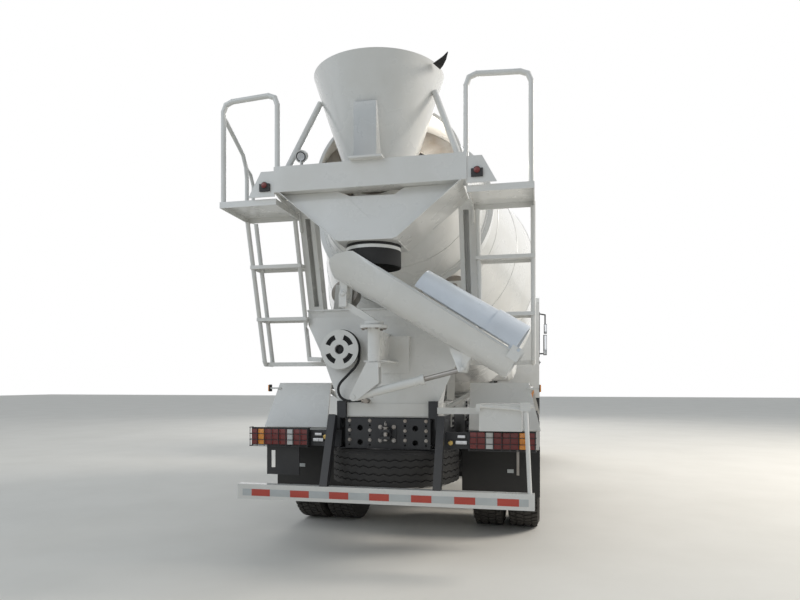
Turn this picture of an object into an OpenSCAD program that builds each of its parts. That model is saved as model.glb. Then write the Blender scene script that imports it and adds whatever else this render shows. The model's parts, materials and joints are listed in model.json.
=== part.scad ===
// Concrete mixer truck, three axles, drum with its mouth at the rear
// Millimetres. +Y points forward, +X to the vehicle's right, +Z up, ground at z = 0.

/* [Layout] */
// Y of the rear guard's rear face
guard_y = -4100; // [-4300:10:-3900]
// Distance from the front axle forward to the rails' front end
front_hang = 1125; // [1000:5:1300]
// Y of the second axle
axle2_y = -1000; // [-1200:5:-800]
// Y of the third axle
axle3_y = -2350; // [-2500:5:-2200]
// Height of the axle centres
axle_z = 550; // [520:1:580]
// Widest point of the body, from the middle
body_x = 1245; // [1200:1:1275]

/* [Wheels] */
// Tyre radius
tyre_r = 550; // [520:1:580]
// Tyre half width
tyre_hw = 150; // [130:1:165]
// Seat radius where the tyre sits on the rim
seat_r = 262; // [250:1:280]
// Gap between tyre and rim
rim_gap = 0.3; // [0.2:0.1:1]
// Middle of a front wheel
front_x = 1011; // [980:1:1030]
// Middle of a twin pair
twin_x = 915; // [880:1:930]
// Distance between the middles of twin tyres
twin_gap = 340; // [320:1:360]
// Kingpin from the middle
king_x = 815; // [800:1:830]
// Radius of a spindle
spindle_r = 42; // [35:1:50]
// Gap around a spindle
bearing_gap = 0.5; // [0.3:0.1:2]
// Hand holes in a rim
hand_holes = 8; // [6:1:10]

/* [Frame] */
// Outer face of a frame rail
rail_x = 425; // [400:1:450]
// Width of a rail flange
rail_w = 85; // [70:1:100]
// Thickness of a rail
rail_t = 8; // [6:1:12]
// Bottom of the rails
rail_z0 = 890; // [860:1:900]
// Top of the rails
rail_z1 = 1150; // [1120:1:1180]
// Rear end of the rails
rail_y0 = -3790; // [-3850:5:-3700]
// Front end of the rails
rail_y1 = 4150; // [4000:5:4250]
// Top of the white subframe
sub_z1 = 1268; // [1240:1:1275]
// Front end of the white subframe
sub_y1 = 1640; // [1400:10:1800]

/* [Drum] */
// Slope of the drum's axis
drum_tilt = 15.4; // [12:0.1:18]
// Y of the mouth's centre
mouth_y = -3783; // [-3850:1:-3700]
// Height of the mouth's centre
mouth_z = 3218; // [3100:1:3300]
// Radius of the mouth's rim
mouth_r = 625; // [580:1:660]
// Largest radius of the drum
drum_r = 1190; // [1150:1:1200]
// Thickness of the drum's plate
drum_t = 8; // [5:1:12]
// Distance of the roller ring along the axis
ring_s = 702; // [650:1:760]
// Outer radius of the roller ring
ring_r = 827; // [800:1:850]
// Half width of the roller ring
ring_hw = 50; // [40:1:60]
// Radius of a support roller
roller_r = 125; // [110:1:140]
// Gap between roller and ring
roller_gap = 0.5; // [0.3:0.1:2]
// Angle of a roller from straight below the axis
roller_deg = 32; // [28:1:38]
// End flange of the drum along the axis
flange_s = 4690; // [4600:5:4800]

/* [Rear stand] */
// Outer face of the leaning columns
column_x = 735; // [700:1:760]
// Half width of the beam across the rear
beam_x = 727; // [700:1:760]
// Bottom of that beam
beam_z0 = 2874; // [2840:1:2900]
// Top of that beam
beam_z1 = 3066; // [3040:1:3100]
// Height of the platforms
deck_z = 2840; // [2800:1:2880]
// Outer edge of the platforms
deck_x = 1194; // [1150:1:1230]
// Top of the hand rails
hand_z = 3620; // [3500:1:3700]
// Radius of hand rail tube
tube_r = 20; // [15:1:25]
// Outer rail of a ladder
ladder_x = 1181; // [1150:1:1200]

/* [Chute] */
// X of the swing post
post_x = -10; // [-40:1:20]
// Distance of the swing post ahead of the guard's rear face
post_v = -100; // [-140:1:-60]
// X of the lift pin
lift_x = -241; // [-280:1:-200]
// Height of the lift pin
lift_z = 2120; // [2100:1:2150]
// X of the jack's lower pin
jack_x = -159; // [-200:1:-120]
// Height of the jack's lower pin
jack_z = 1331; // [1300:1:1360]
// X of the jack's upper pin
eye_x = 674; // [640:1:700]
// Height of the jack's upper pin
eye_z = 1540; // [1520:1:1560]
// Slope of the main chute
chute_tilt = 32.7; // [28:0.1:35]
// Length of the main chute
chute_l = 1490; // [1400:5:1600]
// Radius of the main chute's upper end
chute_r1 = 250; // [230:1:270]
// Radius of the main chute's lower end
chute_r2 = 196; // [180:1:220]
// Radius of the extension chute
fold_r = 186; // [170:1:210]
// Length of the extension chute
fold_l = 860; // [700:5:950]
// Plate of the chutes
chute_t = 6; // [4:1:10]
// Gap between pin and bore
pin_gap = 0.5; // [0.3:0.1:0.9]

/* [Cab] */
// Length of the cab
cab_l = 2160; // [2080:5:2230]
// Front face of the cab ahead of the rails' front end
cab_ahead = 380; // [330:5:420]
// Bottom edge of the cab
cab_z0 = 1180; // [1150:5:1220]
// Top of the roof
cab_z1 = 2990; // [2900:5:3050]
// Thickness of walls and doors
cab_t = 45; // [35:1:60]
// Gap around a door
door_gap = 7; // [5:1:10]
// Width of a door
door_w = 1095; // [1000:5:1150]
// Front edge of a door behind the cab's front face
door_behind = 315; // [280:5:380]
// Bottom edge of a door
door_z0 = 1240; // [1200:5:1300]
// Top edge of a door
door_z1 = 2850; // [2800:5:2880]
// Lower edge of the windows
glass_z0 = 2060; // [2000:5:2120]
// Upper edge of the windows
glass_z1 = 2770; // [2700:5:2800]
// Thickness of the glass
glass_t = 6; // [4:1:8]
// Lower edge of the front flap
flap_z0 = 1330; // [1300:5:1400]
// Upper edge of the front flap
flap_z1 = 1930; // [1850:5:1980]
// Half width of the front flap
flap_x = 880; // [800:5:950]
// Cab's tilt pivot ahead of the rails' front end
pivot_ahead = 280; // [270:1:285]
// Height of the cab's tilt pivot
cab_pivot_z = 1180; // [1150:5:1200]
// Front flap's hinge behind the cab's front face
flap_pin_in = 46; // [35:1:60]
// Top of the bumper
bumper_z1 = 1104; // [1080:2:1106]
// Front face of the bumper ahead of the cab's front face
bumper_ahead = 63; // [40:1:70]
// Radius of the rubber skirt
skirt_r = 209; // [200:1:220]
// Lower edge of the rubber skirt
skirt_z0 = 2316; // [2294:1:2320]
// Radius of the door and flap hinge pins
pin_r = 7; // [5:0.5:9]

/* [Hidden] */
$fn = 64;
white = [0.93, 0.93, 0.9];
black = [0.1, 0.1, 0.11];
rubber = [0.06, 0.06, 0.06];
steel = [0.6, 0.61, 0.63];
glassy = [0.3, 0.4, 0.45, 0.5];
axle1_y = rail_y1 - front_hang;
cab_y1 = rail_y1 + cab_ahead;
cab_y0 = cab_y1 - cab_l;
cab_pivot_y = rail_y1 + pivot_ahead;
door_y1 = cab_y1 - door_behind;
door_y0 = door_y1 - door_w;
flap_pin_y = cab_y1 - flap_pin_in;
bumper_y1 = cab_y1 + bumper_ahead;
door_hinge_y = door_y1 - 22;
door_hinge_x = body_x - 16;
tie_x = king_x;
tie_y = axle1_y - 235;
tie_z = 452;
ring_down = ring_r + roller_r + roller_gap;
swing_y = guard_y + post_v;
fold_up = chute_r1 + 22;

// Y at a distance ahead of the rear guard, and behind the cab's front face
function gy(v) = guard_y + v;
function cy(v) = cab_y1 - v;
function drum_y(s) = mouth_y + cos(drum_tilt) * s;
function drum_z(s) = mouth_z - sin(drum_tilt) * s;
shell_line = [[0, 606], [640, 768], [2050, drum_r], [2950, drum_r], [4330, 830], [4520, 720],
  [4640, 520], [flange_s, 200]];
function shell_r(s) = lookup(s, shell_line);

module box(x0, x1, y0, y1, z0, z1) {
  translate([x0, y0, z0]) cube([x1 - x0, y1 - y0, z1 - z0]);
}
module xz(y0, y1) {
  translate([0, y1, 0]) rotate([90, 0, 0]) linear_extrude(y1 - y0) children();
}
module yz(x0, x1) {
  translate([x0, 0, 0]) rotate([90, 0, 90]) linear_extrude(x1 - x0) children();
}
module xy(z0, z1) {
  translate([0, 0, z0]) linear_extrude(z1 - z0) children();
}
module both() {
  children();
  mirror([1, 0, 0]) children();
}
module xcyl(x0, x1, y, z, r) {
  translate([x0, y, z]) rotate([0, 90, 0]) cylinder(h = x1 - x0, r = r);
}
module ycyl(x, y0, y1, z, r) {
  translate([x, y1, z]) rotate([90, 0, 0]) cylinder(h = y1 - y0, r = r);
}
module zcyl(x, y, z0, z1, r) {
  translate([x, y, z0]) cylinder(h = z1 - z0, r = r);
}
module bar(p, q, r) {
  d = q - p;
  translate(p) rotate([0, acos(d[2] / norm(d)), atan2(d[1], d[0])]) cylinder(h = norm(d), r = r);
}
module spar(p, q, w, h) {
  d = q - p;
  translate(p) rotate([0, -asin(d[2] / norm(d)), atan2(d[1], d[0])])
    translate([0, -w / 2, -h / 2]) cube([norm(d), w, h]);
}
module pipe(points, r) {
  for (i = [0:len(points) - 2]) bar(points[i], points[i + 1], r);
  for (i = [1:len(points) - 2]) translate(points[i]) sphere(r = r * 1.04);
}
// Local z runs along the drum's axis, local y points down from it
module on_drum(s = 0) {
  translate([0, mouth_y, mouth_z]) rotate([-90 - drum_tilt, 0, 0]) translate([0, 0, s]) children();
}
module leaning(x, y, z, deg) {
  translate([x, y, z]) rotate([-deg, 0, 0]) children();
}
// Rounded rectangle made of exact pieces
module round_rect(x0, x1, y0, y1, r) {
  translate([x0 + r, y0]) square([x1 - x0 - 2 * r, y1 - y0]);
  translate([x0, y0 + r]) square([x1 - x0, y1 - y0 - 2 * r]);
  for (x = [x0 + r, x1 - r], y = [y0 + r, y1 - r]) translate([x, y]) circle(r);
}

// Frame
gearbox_y0 = cy(2580);
cross_ys = [gy(460), gy(1200), (axle2_y + axle3_y) / 2, axle2_y + 400, 400, 1300, gearbox_y0 - 100];
module rail() {
  difference() {
    box(rail_x - rail_w, rail_x, rail_y0, rail_y1, rail_z0, rail_z1);
    box(rail_x - rail_w - 1, rail_x - rail_t, rail_y0 - 1, rail_y1 + 1, rail_z0 + rail_t, rail_z1 - rail_t);
  }
}
// Rear tow jaw, a node of its own so that its slot stays open in the collision pieces
module tow_jaw() color(black) {
  box(-75, 75, gy(286), gy(297), 950, 1090);
  difference() {
    box(-42, 42, gy(196), gy(288), 980, 1060);
    box(-50, 50, gy(190), gy(262), 1003, 1037);
    zcyl(0, gy(232), 970, 1070, 20);
  }
}
module frame() color(black) {
  both() rail();
  for (y = cross_ys) difference() {
    box(1 - rail_x, rail_x - 1, y - 45, y + 45, rail_z0 + 30, rail_z1 - 30);
    box(8 - rail_x, rail_x - 8, y - 37, y + 46, rail_z0 + 38, rail_z1 - 38);
  }
  // End plate with its holes
  difference() {
    box(-362, 362, gy(297), gy(311), 894, 1146);
    for (x = [-235, 235], z = [945, 1065]) ycyl(x, gy(290), gy(320), z, 24);
    for (x = [-325, -150, 150, 325], z = [925, 1005, 1085]) ycyl(x, gy(290), gy(320), z, 9);
  }
  both() {
    // Hangers of the rear guard and their feet
    difference() {
      spar([458, gy(30), 590], [458, gy(262), 1160], 62, 74);
      box(400, 500, gy(-60), gy(160), 500, 612);
    }
    box(402, 489, gy(270), gy(420), 1060, 1140);
    // Lamp arms
    box(rail_x - 20, 700, gy(312), gy(340), 905, 1040);
    box(690, 1170, gy(312), gy(330), 920, 1040);
    // Blocks at the subframe's end
    box(350, 425, gy(262), gy(300), 1150, 1290);
    box(402, 425, gy(262), gy(312), 1060, 1150);
    // Front arms with the cab's pivot ears
    box(rail_x + 5, rail_x + 35, rail_y1 + 20, cab_pivot_y - 10, 1040, 1150);
    box(rail_x + 5, rail_x + 35, rail_y1 - 50, rail_y1 + 40, 900, 1150);
    difference() {
      hull() {
        xcyl(rail_x + 5, rail_x + 35, cab_pivot_y, cab_pivot_z, 38);
        xcyl(rail_x + 5, rail_x + 35, cab_pivot_y - 60, 1080, 38);
      }
      xcyl(rail_x, rail_x + 40, cab_pivot_y, cab_pivot_z, 20 + pin_gap);
    }
  }
  // Posts that the cab's rear edge rests on
  both() {
    box(rail_x, 640, cab_y0 - 30, cab_y0 + 60, 1080, 1130);
    box(540, 640, cab_y0 - 10, cab_y0 + 45, 1129, cab_z0 - 0.3);
  }
  // Slotted bracket under the left lamp
  difference() {
    box(-1108, -808, gy(380), gy(392), 640, 930);
    box(-1070, -1030, gy(370), gy(400), 700, 850);
  }
  box(-940, -880, gy(325), gy(385), 890, 925);
  // Front cross member
  box(-rail_x - 40, rail_x + 40, rail_y1 - 60, rail_y1 + 40, rail_z0 - 60, rail_z0 + 60);
}

// Front tow eyes, a node of their own so that the frame's collision pieces follow its rails
module tow_eyes() color(black) both() difference() {
  box(300, 420, rail_y1 + 40, rail_y1 + 300, 800, 900);
  zcyl(360, rail_y1 + 250, 790, 910, 21);
}

// Subframe
module subframe() color(white) {
  both() box(345, rail_x, gy(311), sub_y1, rail_z1, sub_z1);
  for (y = [gy(360), -2900, 500, 1580]) box(-346, 346, y - 40, y + 40, rail_z1 + 2, rail_z1 + 98);
  box(-346, 346, gy(300), gy(330), 1164, sub_z1);
  both() for (y = [-3000, -1900, -700, 300, 1300])
    box(rail_x, rail_x + 14, y - 60, y + 60, rail_z1 - 120, sub_z1 - 20);
}

// Rear stand
module gusset_shape() {
  polygon([[-420, 0], [-588, 395], [-742, 690], [-753, 812], [753, 812], [742, 690], [588, 395],
    [420, 0]]);
}
module roller_seat() {
  translate([(ring_down) * sin(roller_deg), ring_down * cos(roller_deg), 0]) {
    difference() {
      translate([-80, -60, -86]) cube([160, 300, 16]);
      cylinder(h = 400, r = 30 + pin_gap, center = true);
    }
    difference() {
      translate([-80, -60, 70]) cube([160, 300, 16]);
      cylinder(h = 400, r = 30 + pin_gap, center = true);
    }
  }
}
module column() {
  leaning(0, gy(440), 2045, -17.6) difference() {
    box(column_x - 132, column_x, 0, 110, 0, 880);
    box(column_x - 96, column_x - 52, -10, 96, 60, 800);
  }
}
plate_y = gy(306);
plate_lean = 10.4;
module gusset_plate() {
  leaning(0, plate_y, sub_z1, plate_lean) rotate([90, 0, 0]) translate([0, 0, -10]) linear_extrude(10)
    gusset_shape();
}
// Everything ahead of the hourglass plate's rear face
module ahead_of_plate() {
  leaning(0, plate_y, sub_z1, plate_lean) box(-900, 900, 0, 500, -200, 1200);
}
module hopper_strut() {
  difference() {
    bar([665, gy(-250), beam_z1 - 10], [455, gy(-60), 3640], 24, $fn = 12);
    hopper_cone(0.3);
    box(500, 800, gy(-340), gy(-190), beam_z0, beam_z1);
  }
}
cheek_z1 = max(beam_z1 - 26, deck_z + 20);
// Work lamp on the beam: case with a hood ring, on a bracket
module work_lamp() {
  bar([-538, gy(-262), beam_z1 + 92], [-549, gy(-196), beam_z1 + 122], 42, $fn = 12);
  bar([-537.3, gy(-266), beam_z1 + 90.2], [-540, gy(-250), beam_z1 + 97.5], 48, $fn = 12);
  box(-562, -522, gy(-270), gy(-215), beam_z1 - 1, beam_z1 + 8);
  box(-547, -537, gy(-262), gy(-222), beam_z1 + 7, beam_z1 + 76);
}
module rear_stand() color(white) {
  work_lamp();
  // Hourglass plate with its folded edge
  difference() {
    union() {
      gusset_plate();
      leaning(0, plate_y, sub_z1, plate_lean) box(-753, 753, -26, 12, 806, 818);
      // Legs
      both() {
        spar([385, gy(400), 1240], [470, gy(560), 2000], 74, 110);
        spar([385, gy(1300), 1240], [470, gy(860), 2000], 74, 90);
      }
    }
    box(-800, 800, gy(200), gy(1600), 1100, sub_z1);
  }
  // Table that carries the rollers
  difference() {
    box(-748, 748, gy(442), gy(900), 1990, 2066);
    box(-740, 740, gy(470), gy(892), 1998, 2058);
  }
  both() {
    column();
    on_drum(ring_s) roller_seat();
    // Cheeks between the beam and the columns
    yz(beam_x - 14, beam_x) polygon([[gy(-340), min(beam_z0, deck_z + 34)], [gy(-340), cheek_z1],
      [gy(-150), cheek_z1], [gy(330), deck_z + 20], [gy(330), deck_z - 140], [gy(200), deck_z - 140],
      [gy(150), deck_z], [gy(-180), deck_z]]);
    // Gussets that carry the small lamps
    xz(gy(-332), gy(-322)) polygon([[beam_x - 2, beam_z0 - 26], [beam_x - 2, beam_z1 - 28],
      [beam_x + 107, beam_z1 - 28], [beam_x + 211, beam_z0 - 26]]);
    // Platforms
    box(beam_x - 2, deck_x, gy(-300), gy(187), deck_z - 6, deck_z);
    difference() {
      box(beam_x - 2, deck_x, gy(-300), gy(187), deck_z - 46, deck_z - 1);
      box(beam_x + 6, deck_x - 8, gy(-292), gy(179), deck_z - 50, deck_z - 5);
    }
    hopper_strut();
  }
  // Beam across the rear
  difference() {
    box(-beam_x, beam_x, gy(-340), gy(-190), beam_z0, beam_z1);
    box(8 - beam_x, beam_x - 8, gy(-332), gy(-198), beam_z0 + 8, beam_z1 - 8);
  }
}

// Ladders and hand rails
module hand_rails() {
  hx = deck_x - 22;
  hy = gy(-278);
  pipe([[hx, hy, deck_z - 4], [hx, hy, hand_z - 75], [hx - 22, hy, hand_z - 22], [hx - 75, hy, hand_z],
    [beam_x + 65, hy - 10, hand_z + 12], [beam_x + 12, hy - 12, hand_z - 10],
    [beam_x - 8, hy - 12, hand_z - 65], [beam_x - 8, hy - 12, beam_z1 - 150]], tube_r);
  pipe([[hx, hy, hand_z - 110], [hx, hy + 260, hand_z - 250], [hx, hy + 330, hand_z - 290],
    [hx, hy + 380, hand_z - 370], [hx, hy + 400, hand_z - 460], [hx, hy + 400, deck_z - 4]], tube_r - 3);
  pipe([[hx, hy + 400, deck_z + 400], [hx, hy + 470, deck_z + 370], [hx, hy + 520, deck_z + 290],
    [hx, hy + 520, deck_z - 20], [hx, hy + 440, deck_z - 20]], tube_r - 5);
}
function rail_v(z) = 144 + (2820 - z) * 0.2932;
module ladder() {
  for (shift = [0, 170]) bar([ladder_x, gy(rail_v(2820) + shift), deck_z - 15],
    [ladder_x, gy(rail_v(1620) + shift), 1620], 19);
  pipe([[ladder_x, gy(rail_v(1660)), 1640], [ladder_x, gy(rail_v(1600)) + 12, 1606],
    [ladder_x, gy(rail_v(1600)) + 150, 1606], [ladder_x, gy(rail_v(1660)) + 170, 1640]], 19);
  // Treads reach in to the column's foot
  for (z = [2447, 2011]) difference() {
    box(735, ladder_x + 16, gy(rail_v(z)) - 22, gy(rail_v(z)) + 190, z - 30, z);
    box(743, ladder_x + 8, gy(rail_v(z)) - 14, gy(rail_v(z)) + 182, z - 31, z - 6);
  }
  box(620, ladder_x, gy(rail_v(1606)) + 20, gy(rail_v(1606)) + 56, 1588, 1624);
  // Inner post of the ladder
  bar([757, gy(150), deck_z - 10], [757, gy(500), 1640], 19);
  // Foot on the rail
  spar([757, gy(500), 1650], [600, gy(395), 1640], 40, 40);
}
module ladders() color(white) both() difference() {
  union() {
    hand_rails();
    ladder();
  }
  // They end on the platforms, the beam and the hourglass plate
  box(beam_x - 14, deck_x, gy(-300), gy(187), deck_z - 46, deck_z);
  box(0, beam_x, gy(-340), gy(-150), beam_z0 - 40, beam_z1);
  box(beam_x - 14, beam_x, gy(-340), gy(330), deck_z - 140, cheek_z1);
  leaning(0, plate_y, sub_z1, plate_lean) box(0, 754, -26, 12, 0, 818);
  box(0, column_x, gy(150), gy(600), 1900, 2850);
  box(0, 748, gy(442), gy(900), 1990, 2066);
}

// Discharge collector
module collector() color(white) {
  difference() {
    xz(gy(-346), gy(140)) polygon([[-690, beam_z0], [-236, 2487], [216, 2487], [690, beam_z0]]);
    xz(gy(-338), gy(141)) polygon([[-690, beam_z0 + 10], [-683, beam_z0 + 2], [-228, 2486], [208, 2486],
      [683, beam_z0 + 2], [690, beam_z0 + 10]]);
  }
  // Front lip under the mouth
  box(-236, 216, gy(132), gy(140), 2487, 2560);
  // Bottom plate and the collar for the skirt
  difference() {
    union() {
      box(-236, 216, gy(-346), gy(140), 2481, 2488);
      zcyl(post_x, swing_y, 2430, 2484, skirt_r - 8);
    }
    zcyl(post_x, swing_y, 2400, 2500, skirt_r - 14);
  }
}

// Charging hopper
module hopper_cone(grow) {
  translate([0, gy(25), 3030]) cylinder(h = 900, r1 = 245 + grow, r2 = 548 + grow);
}
module hopper_cut() {
  // Everything ahead of the mouth's plane and above the sloping rim
  on_drum(-30) translate([-900, -1200, 0]) cube([1800, 2400, 1200]);
  translate([0, gy(-470), 3838]) rotate([-11, 0, 0]) translate([-900, -300, 0]) cube([1800, 1800, 600]);
}
module hopper() color(white) {
  difference() {
    hopper_cone(0);
    difference() {
      hopper_cone(-7);
      translate([-900, gy(-900), 3000]) cube([1800, 1800, 37]);
    }
    hopper_cut();
    box(-beam_x, beam_x, gy(-340), gy(-190), beam_z0, beam_z1);
  }
  // Wall just behind the mouth, open at the bottom
  difference() {
    intersection() {
      hopper_cone(-3);
      on_drum(-38) translate([-900, -1200, 0]) cube([1800, 2400, 8]);
    }
    on_drum(-60) translate([0, 210, 0]) cylinder(h = 60, r = 300);
    translate([0, gy(-470), 3838]) rotate([-11, 0, 0]) translate([-900, -300, 0]) cube([1800, 1800, 600]);
  }
  // Spout that reaches into the drum
  on_drum(-330) difference() {
    translate([0, 190, 0]) cylinder(h = 640, r = 262);
    translate([0, 190, -1]) cylinder(h = 642, r = 255);
    translate([-300, -200, -1]) cube([600, 420, 642]);
  }
  // Middle stiffener on the beam
  box(-85, 85, gy(-392), gy(-386), beam_z1, 3470);
  for (x = [-85, 79]) yz(x, x + 6) polygon([[gy(-392), beam_z1], [gy(-392), 3470], [gy(-330), 3470],
    [gy(-200), beam_z1]]);
  box(-125, 125, gy(-396), gy(-205), beam_z1, beam_z1 + 14);
}

// Rubber parts
module rubber_parts() color(rubber) {
  difference() {
    zcyl(post_x, swing_y, skirt_z0, 2481, skirt_r);
    zcyl(post_x, swing_y, skirt_z0 - 1, 2482, skirt_r - 7.7);
  }
  both() box(548, 1236, gy(900), gy(910), 430, 878);
  // Splash sheet at the hopper's right
  difference() {
    xz(gy(20), gy(26)) polygon([[395, 3540], [425, 3700], [555, 3835], [505, 3640], [450, 3520]]);
    hopper_cone(0.3);
  }
}

// Rear fenders
fender_line = [[-3480, 1040], [-3360, 1440], [-3010, 1440], [-2920, 1395], [-280, 1395], [-60, 1310],
  [150, 1010]];
module fender_shape() {
  n = len(fender_line);
  polygon(concat(fender_line, [for (i = [n - 1:-1:0])
    [fender_line[i][0] * 0.994 - 2, fender_line[i][1] - (i == 0 || i == n - 1 ? 6 : 18)]]));
}
module fenders() color(white) both() {
  difference() {
    yz(640, body_x - 5) fender_shape();
    // Outer edge leans in towards the top
    translate([body_x - 5, 0, 1040]) rotate([0, -14, 0]) translate([0, -4000, -100]) cube([200, 5000, 700]);
  }
  // Arm of the marker lamp
  box(1120, 1228, gy(712), gy(748), 1384, 1398);
  for (y = [-3300, -1675, -200]) difference() {
    bar([400, y, 1200], [700, y, 1385], 22);
    box(0, rail_x, y - 50, y + 50, 1100, 1300);
  }
  box(640, 1230, gy(640), gy(660), 880, 1050);
  box(640, 1230, gy(640), gy(912), 878, 902);
}

// Rear guard with its white strut, control box and lever
module rear_guard() color(white) {
  difference() {
    box(-1195, 1195, gy(0), gy(70), 489, 612);
    box(-1196, 1196, gy(5), gy(65), 494, 607);
  }
  both() box(1186, 1195, gy(0), gy(70), 489, 612);
  bar([1159, gy(35), 609.5], [1128, gy(62), 1275], 17, $fn = 12);
  bar([1085, gy(60), 1252], [1185, gy(66), 1262], 14, $fn = 12);
  box(1090, 1165, gy(35), gy(85), 1225, 1290);
  difference() {
    box(774, 1099, gy(100), gy(290), 1068, 1278);
    box(780, 1093, gy(106), gy(291), 1074, 1272);
  }
  box(774, 1099, gy(286), gy(292), 1068, 1278);
  box(425, 780, gy(250), gy(290), 1190, 1240);
  // Pipe that runs to the strut's head
  bar([770, gy(84), 1262], [1110, gy(62), 1238], 12, $fn = 12);
  box(755, 785, gy(60), gy(110), 1225, 1278);
}

// Lamps, also the marker lamps on the fenders
module lamps() color([0.7, 0.08, 0.06]) {
  both() {
    box(680, 1200, gy(250), gy(312), 905, 1055);
    box(1228, body_x, gy(700), gy(760), 1360, 1425);
    box(762, 838, gy(-350), gy(-332), 2890, 2955);
    intersection() {
      bumper_solid();
      head_lamp_seat(0.3);
    }
  }
}

// Front of the vehicle below the cab
bumper_z0 = 520;
module bumper_solid() {
  y1 = bumper_y1;
  intersection() {
    yz(-body_x, body_x) polygon([[cy(810), bumper_z0], [cy(810), bumper_z1], [y1 - 60, bumper_z1],
      [y1, bumper_z1 - 104], [y1, bumper_z0 + 120], [y1 - 68, bumper_z0]]);
    xy(bumper_z0 - 20, bumper_z1 + 66) polygon([[-body_x, cy(810)], [-body_x, y1 - 268],
      [85 - body_x, y1 - 78], [345 - body_x, y1], [body_x - 345, y1], [body_x - 85, y1 - 78],
      [body_x, y1 - 268], [body_x, cy(810)]]);
  }
}
module head_lamp_seat(gap) {
  box(body_x - 245 + gap, body_x - 75 - gap, cy(90 - gap), cy(-170), bumper_z0 + 230 + gap,
    bumper_z0 + 400 - gap);
}
module bumper() color(white) {
  difference() {
    bumper_solid();
    // Hollow between the step boxes
    box(345 - body_x, body_x - 345, cy(830), cy(50), bumper_z0 - 20, bumper_z1 + 76);
    both() box(body_x - 315, body_x - 25, cy(785), cy(130), bumper_z0 + 25, bumper_z1 - 25);
    // Steps
    both() for (z = [bumper_z0 + 120, bumper_z0 + 340])
      box(body_x - 170, body_x + 5, cy(740), cy(350), z, z + 150);
    // Grille slots and lamp seats
    for (z = [180, 260, 340]) box(-620, 620, cy(60), cy(-170), bumper_z0 + z, bumper_z0 + z + 46);
    both() head_lamp_seat(0);
  }
  both() box(rail_x + 40, 905, rail_y1 - 50, rail_y1 + 30, 820, 920);
}

// Drivetrain: engine and gearbox as plain blocks, shafts to the rear axles
module drivetrain() color([0.35, 0.36, 0.38]) {
  box(-330, 330, cy(1770), cy(630), 700, 1420);
  box(-230, 230, cy(630), cy(570), 760, 1380);
  box(-210, 210, gearbox_y0, cy(1765), 720, 1240);
  difference() {
    bar([0, gearbox_y0 + 10, 790], [0, axle2_y + 280, axle_z + 60], 52);
    box(-100, 100, axle2_y, axle2_y + 300, 500, 700);
  }
  bar([0, axle2_y - 270, axle_z + 60], [0, axle3_y + 300, axle_z + 60], 45);
  // Mounts on the rails
  for (v = [2230, 1030])
    box(-rail_x + rail_t, rail_x - rail_t, cy(v + 40), cy(v - 40), rail_z0 + 20, rail_z0 + 70);
  // Silencer
  xcyl(-820, -480, 1745, 800, 180);
  box(-500, -rail_x, 1680, 1800, 900, 950);
}

// Axles with their springs
module leaf_pack(x0, x1, y, span, z, rise) {
  for (i = [0:4]) yz(x0, x1) polygon([[y - span / 2 + i * span / 12, z + rise * (1 - i / 6) - i * 22],
    [y, z - i * 22], [y + span / 2 - i * span / 12, z + rise * (1 - i / 6) - i * 22],
    [y + span / 2 - i * span / 12, z + rise * (1 - i / 6) - i * 22 - 20], [y, z - i * 22 - 22],
    [y - span / 2 + i * span / 12, z + rise * (1 - i / 6) - i * 22 - 20]]);
}
module rear_axle(y) {
  xcyl(-600, 600, y, axle_z, 82);
  translate([0, y, axle_z]) rotate([0, 90, 0]) sphere(r = 215);
  ycyl(0, y + 150, y + 300, axle_z + 60, 80);
  xcyl(-1120, 1120, y, axle_z, spindle_r);
  both() box(440, 580, y - 75, y + 75, axle_z + 60, axle_z + 150);
  // Brake chambers on their brackets
  both() ycyl(330, y - 320, y - 140, axle_z + 95, 76);
  both() box(300, 360, y - 142, y - 50, axle_z + 40, axle_z + 90);
}
saddle_y = (axle2_y + axle3_y) / 2;
module axles() color(black) {
  for (y = [axle2_y, axle3_y]) rear_axle(y);
  ycyl(0, axle2_y - 270, axle2_y - 150, axle_z + 60, 80);
  both() {
    // Tandem springs over the two rear axles and their saddle
    leaf_pack(455, 545, saddle_y, 1440, axle_z + 330, -150);
    xcyl(rail_x, 560, saddle_y, axle_z + 150, 70);
    box(rail_x, rail_x + 12, saddle_y - 160, saddle_y + 160, 640, 1100);
    box(450, 550, saddle_y - 80, saddle_y + 80, 690, 890);
    // Front springs with their hangers
    leaf_pack(350, 430, axle1_y, 1560, axle_z + 110, 90);
    for (y = [axle1_y - 770, axle1_y + 770]) box(345, 424, y - 40, y + 40, 700, rail_z0);
    // End of the front beam with the kingpin's boss
    difference() {
      union() {
        box(0, king_x - 20, axle1_y - 45, axle1_y + 45, 490, 575);
        zcyl(king_x, axle1_y, 482, 618, 50);
      }
      zcyl(king_x, axle1_y, 470, 630, 25 + pin_gap);
    }
  }
}

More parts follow.
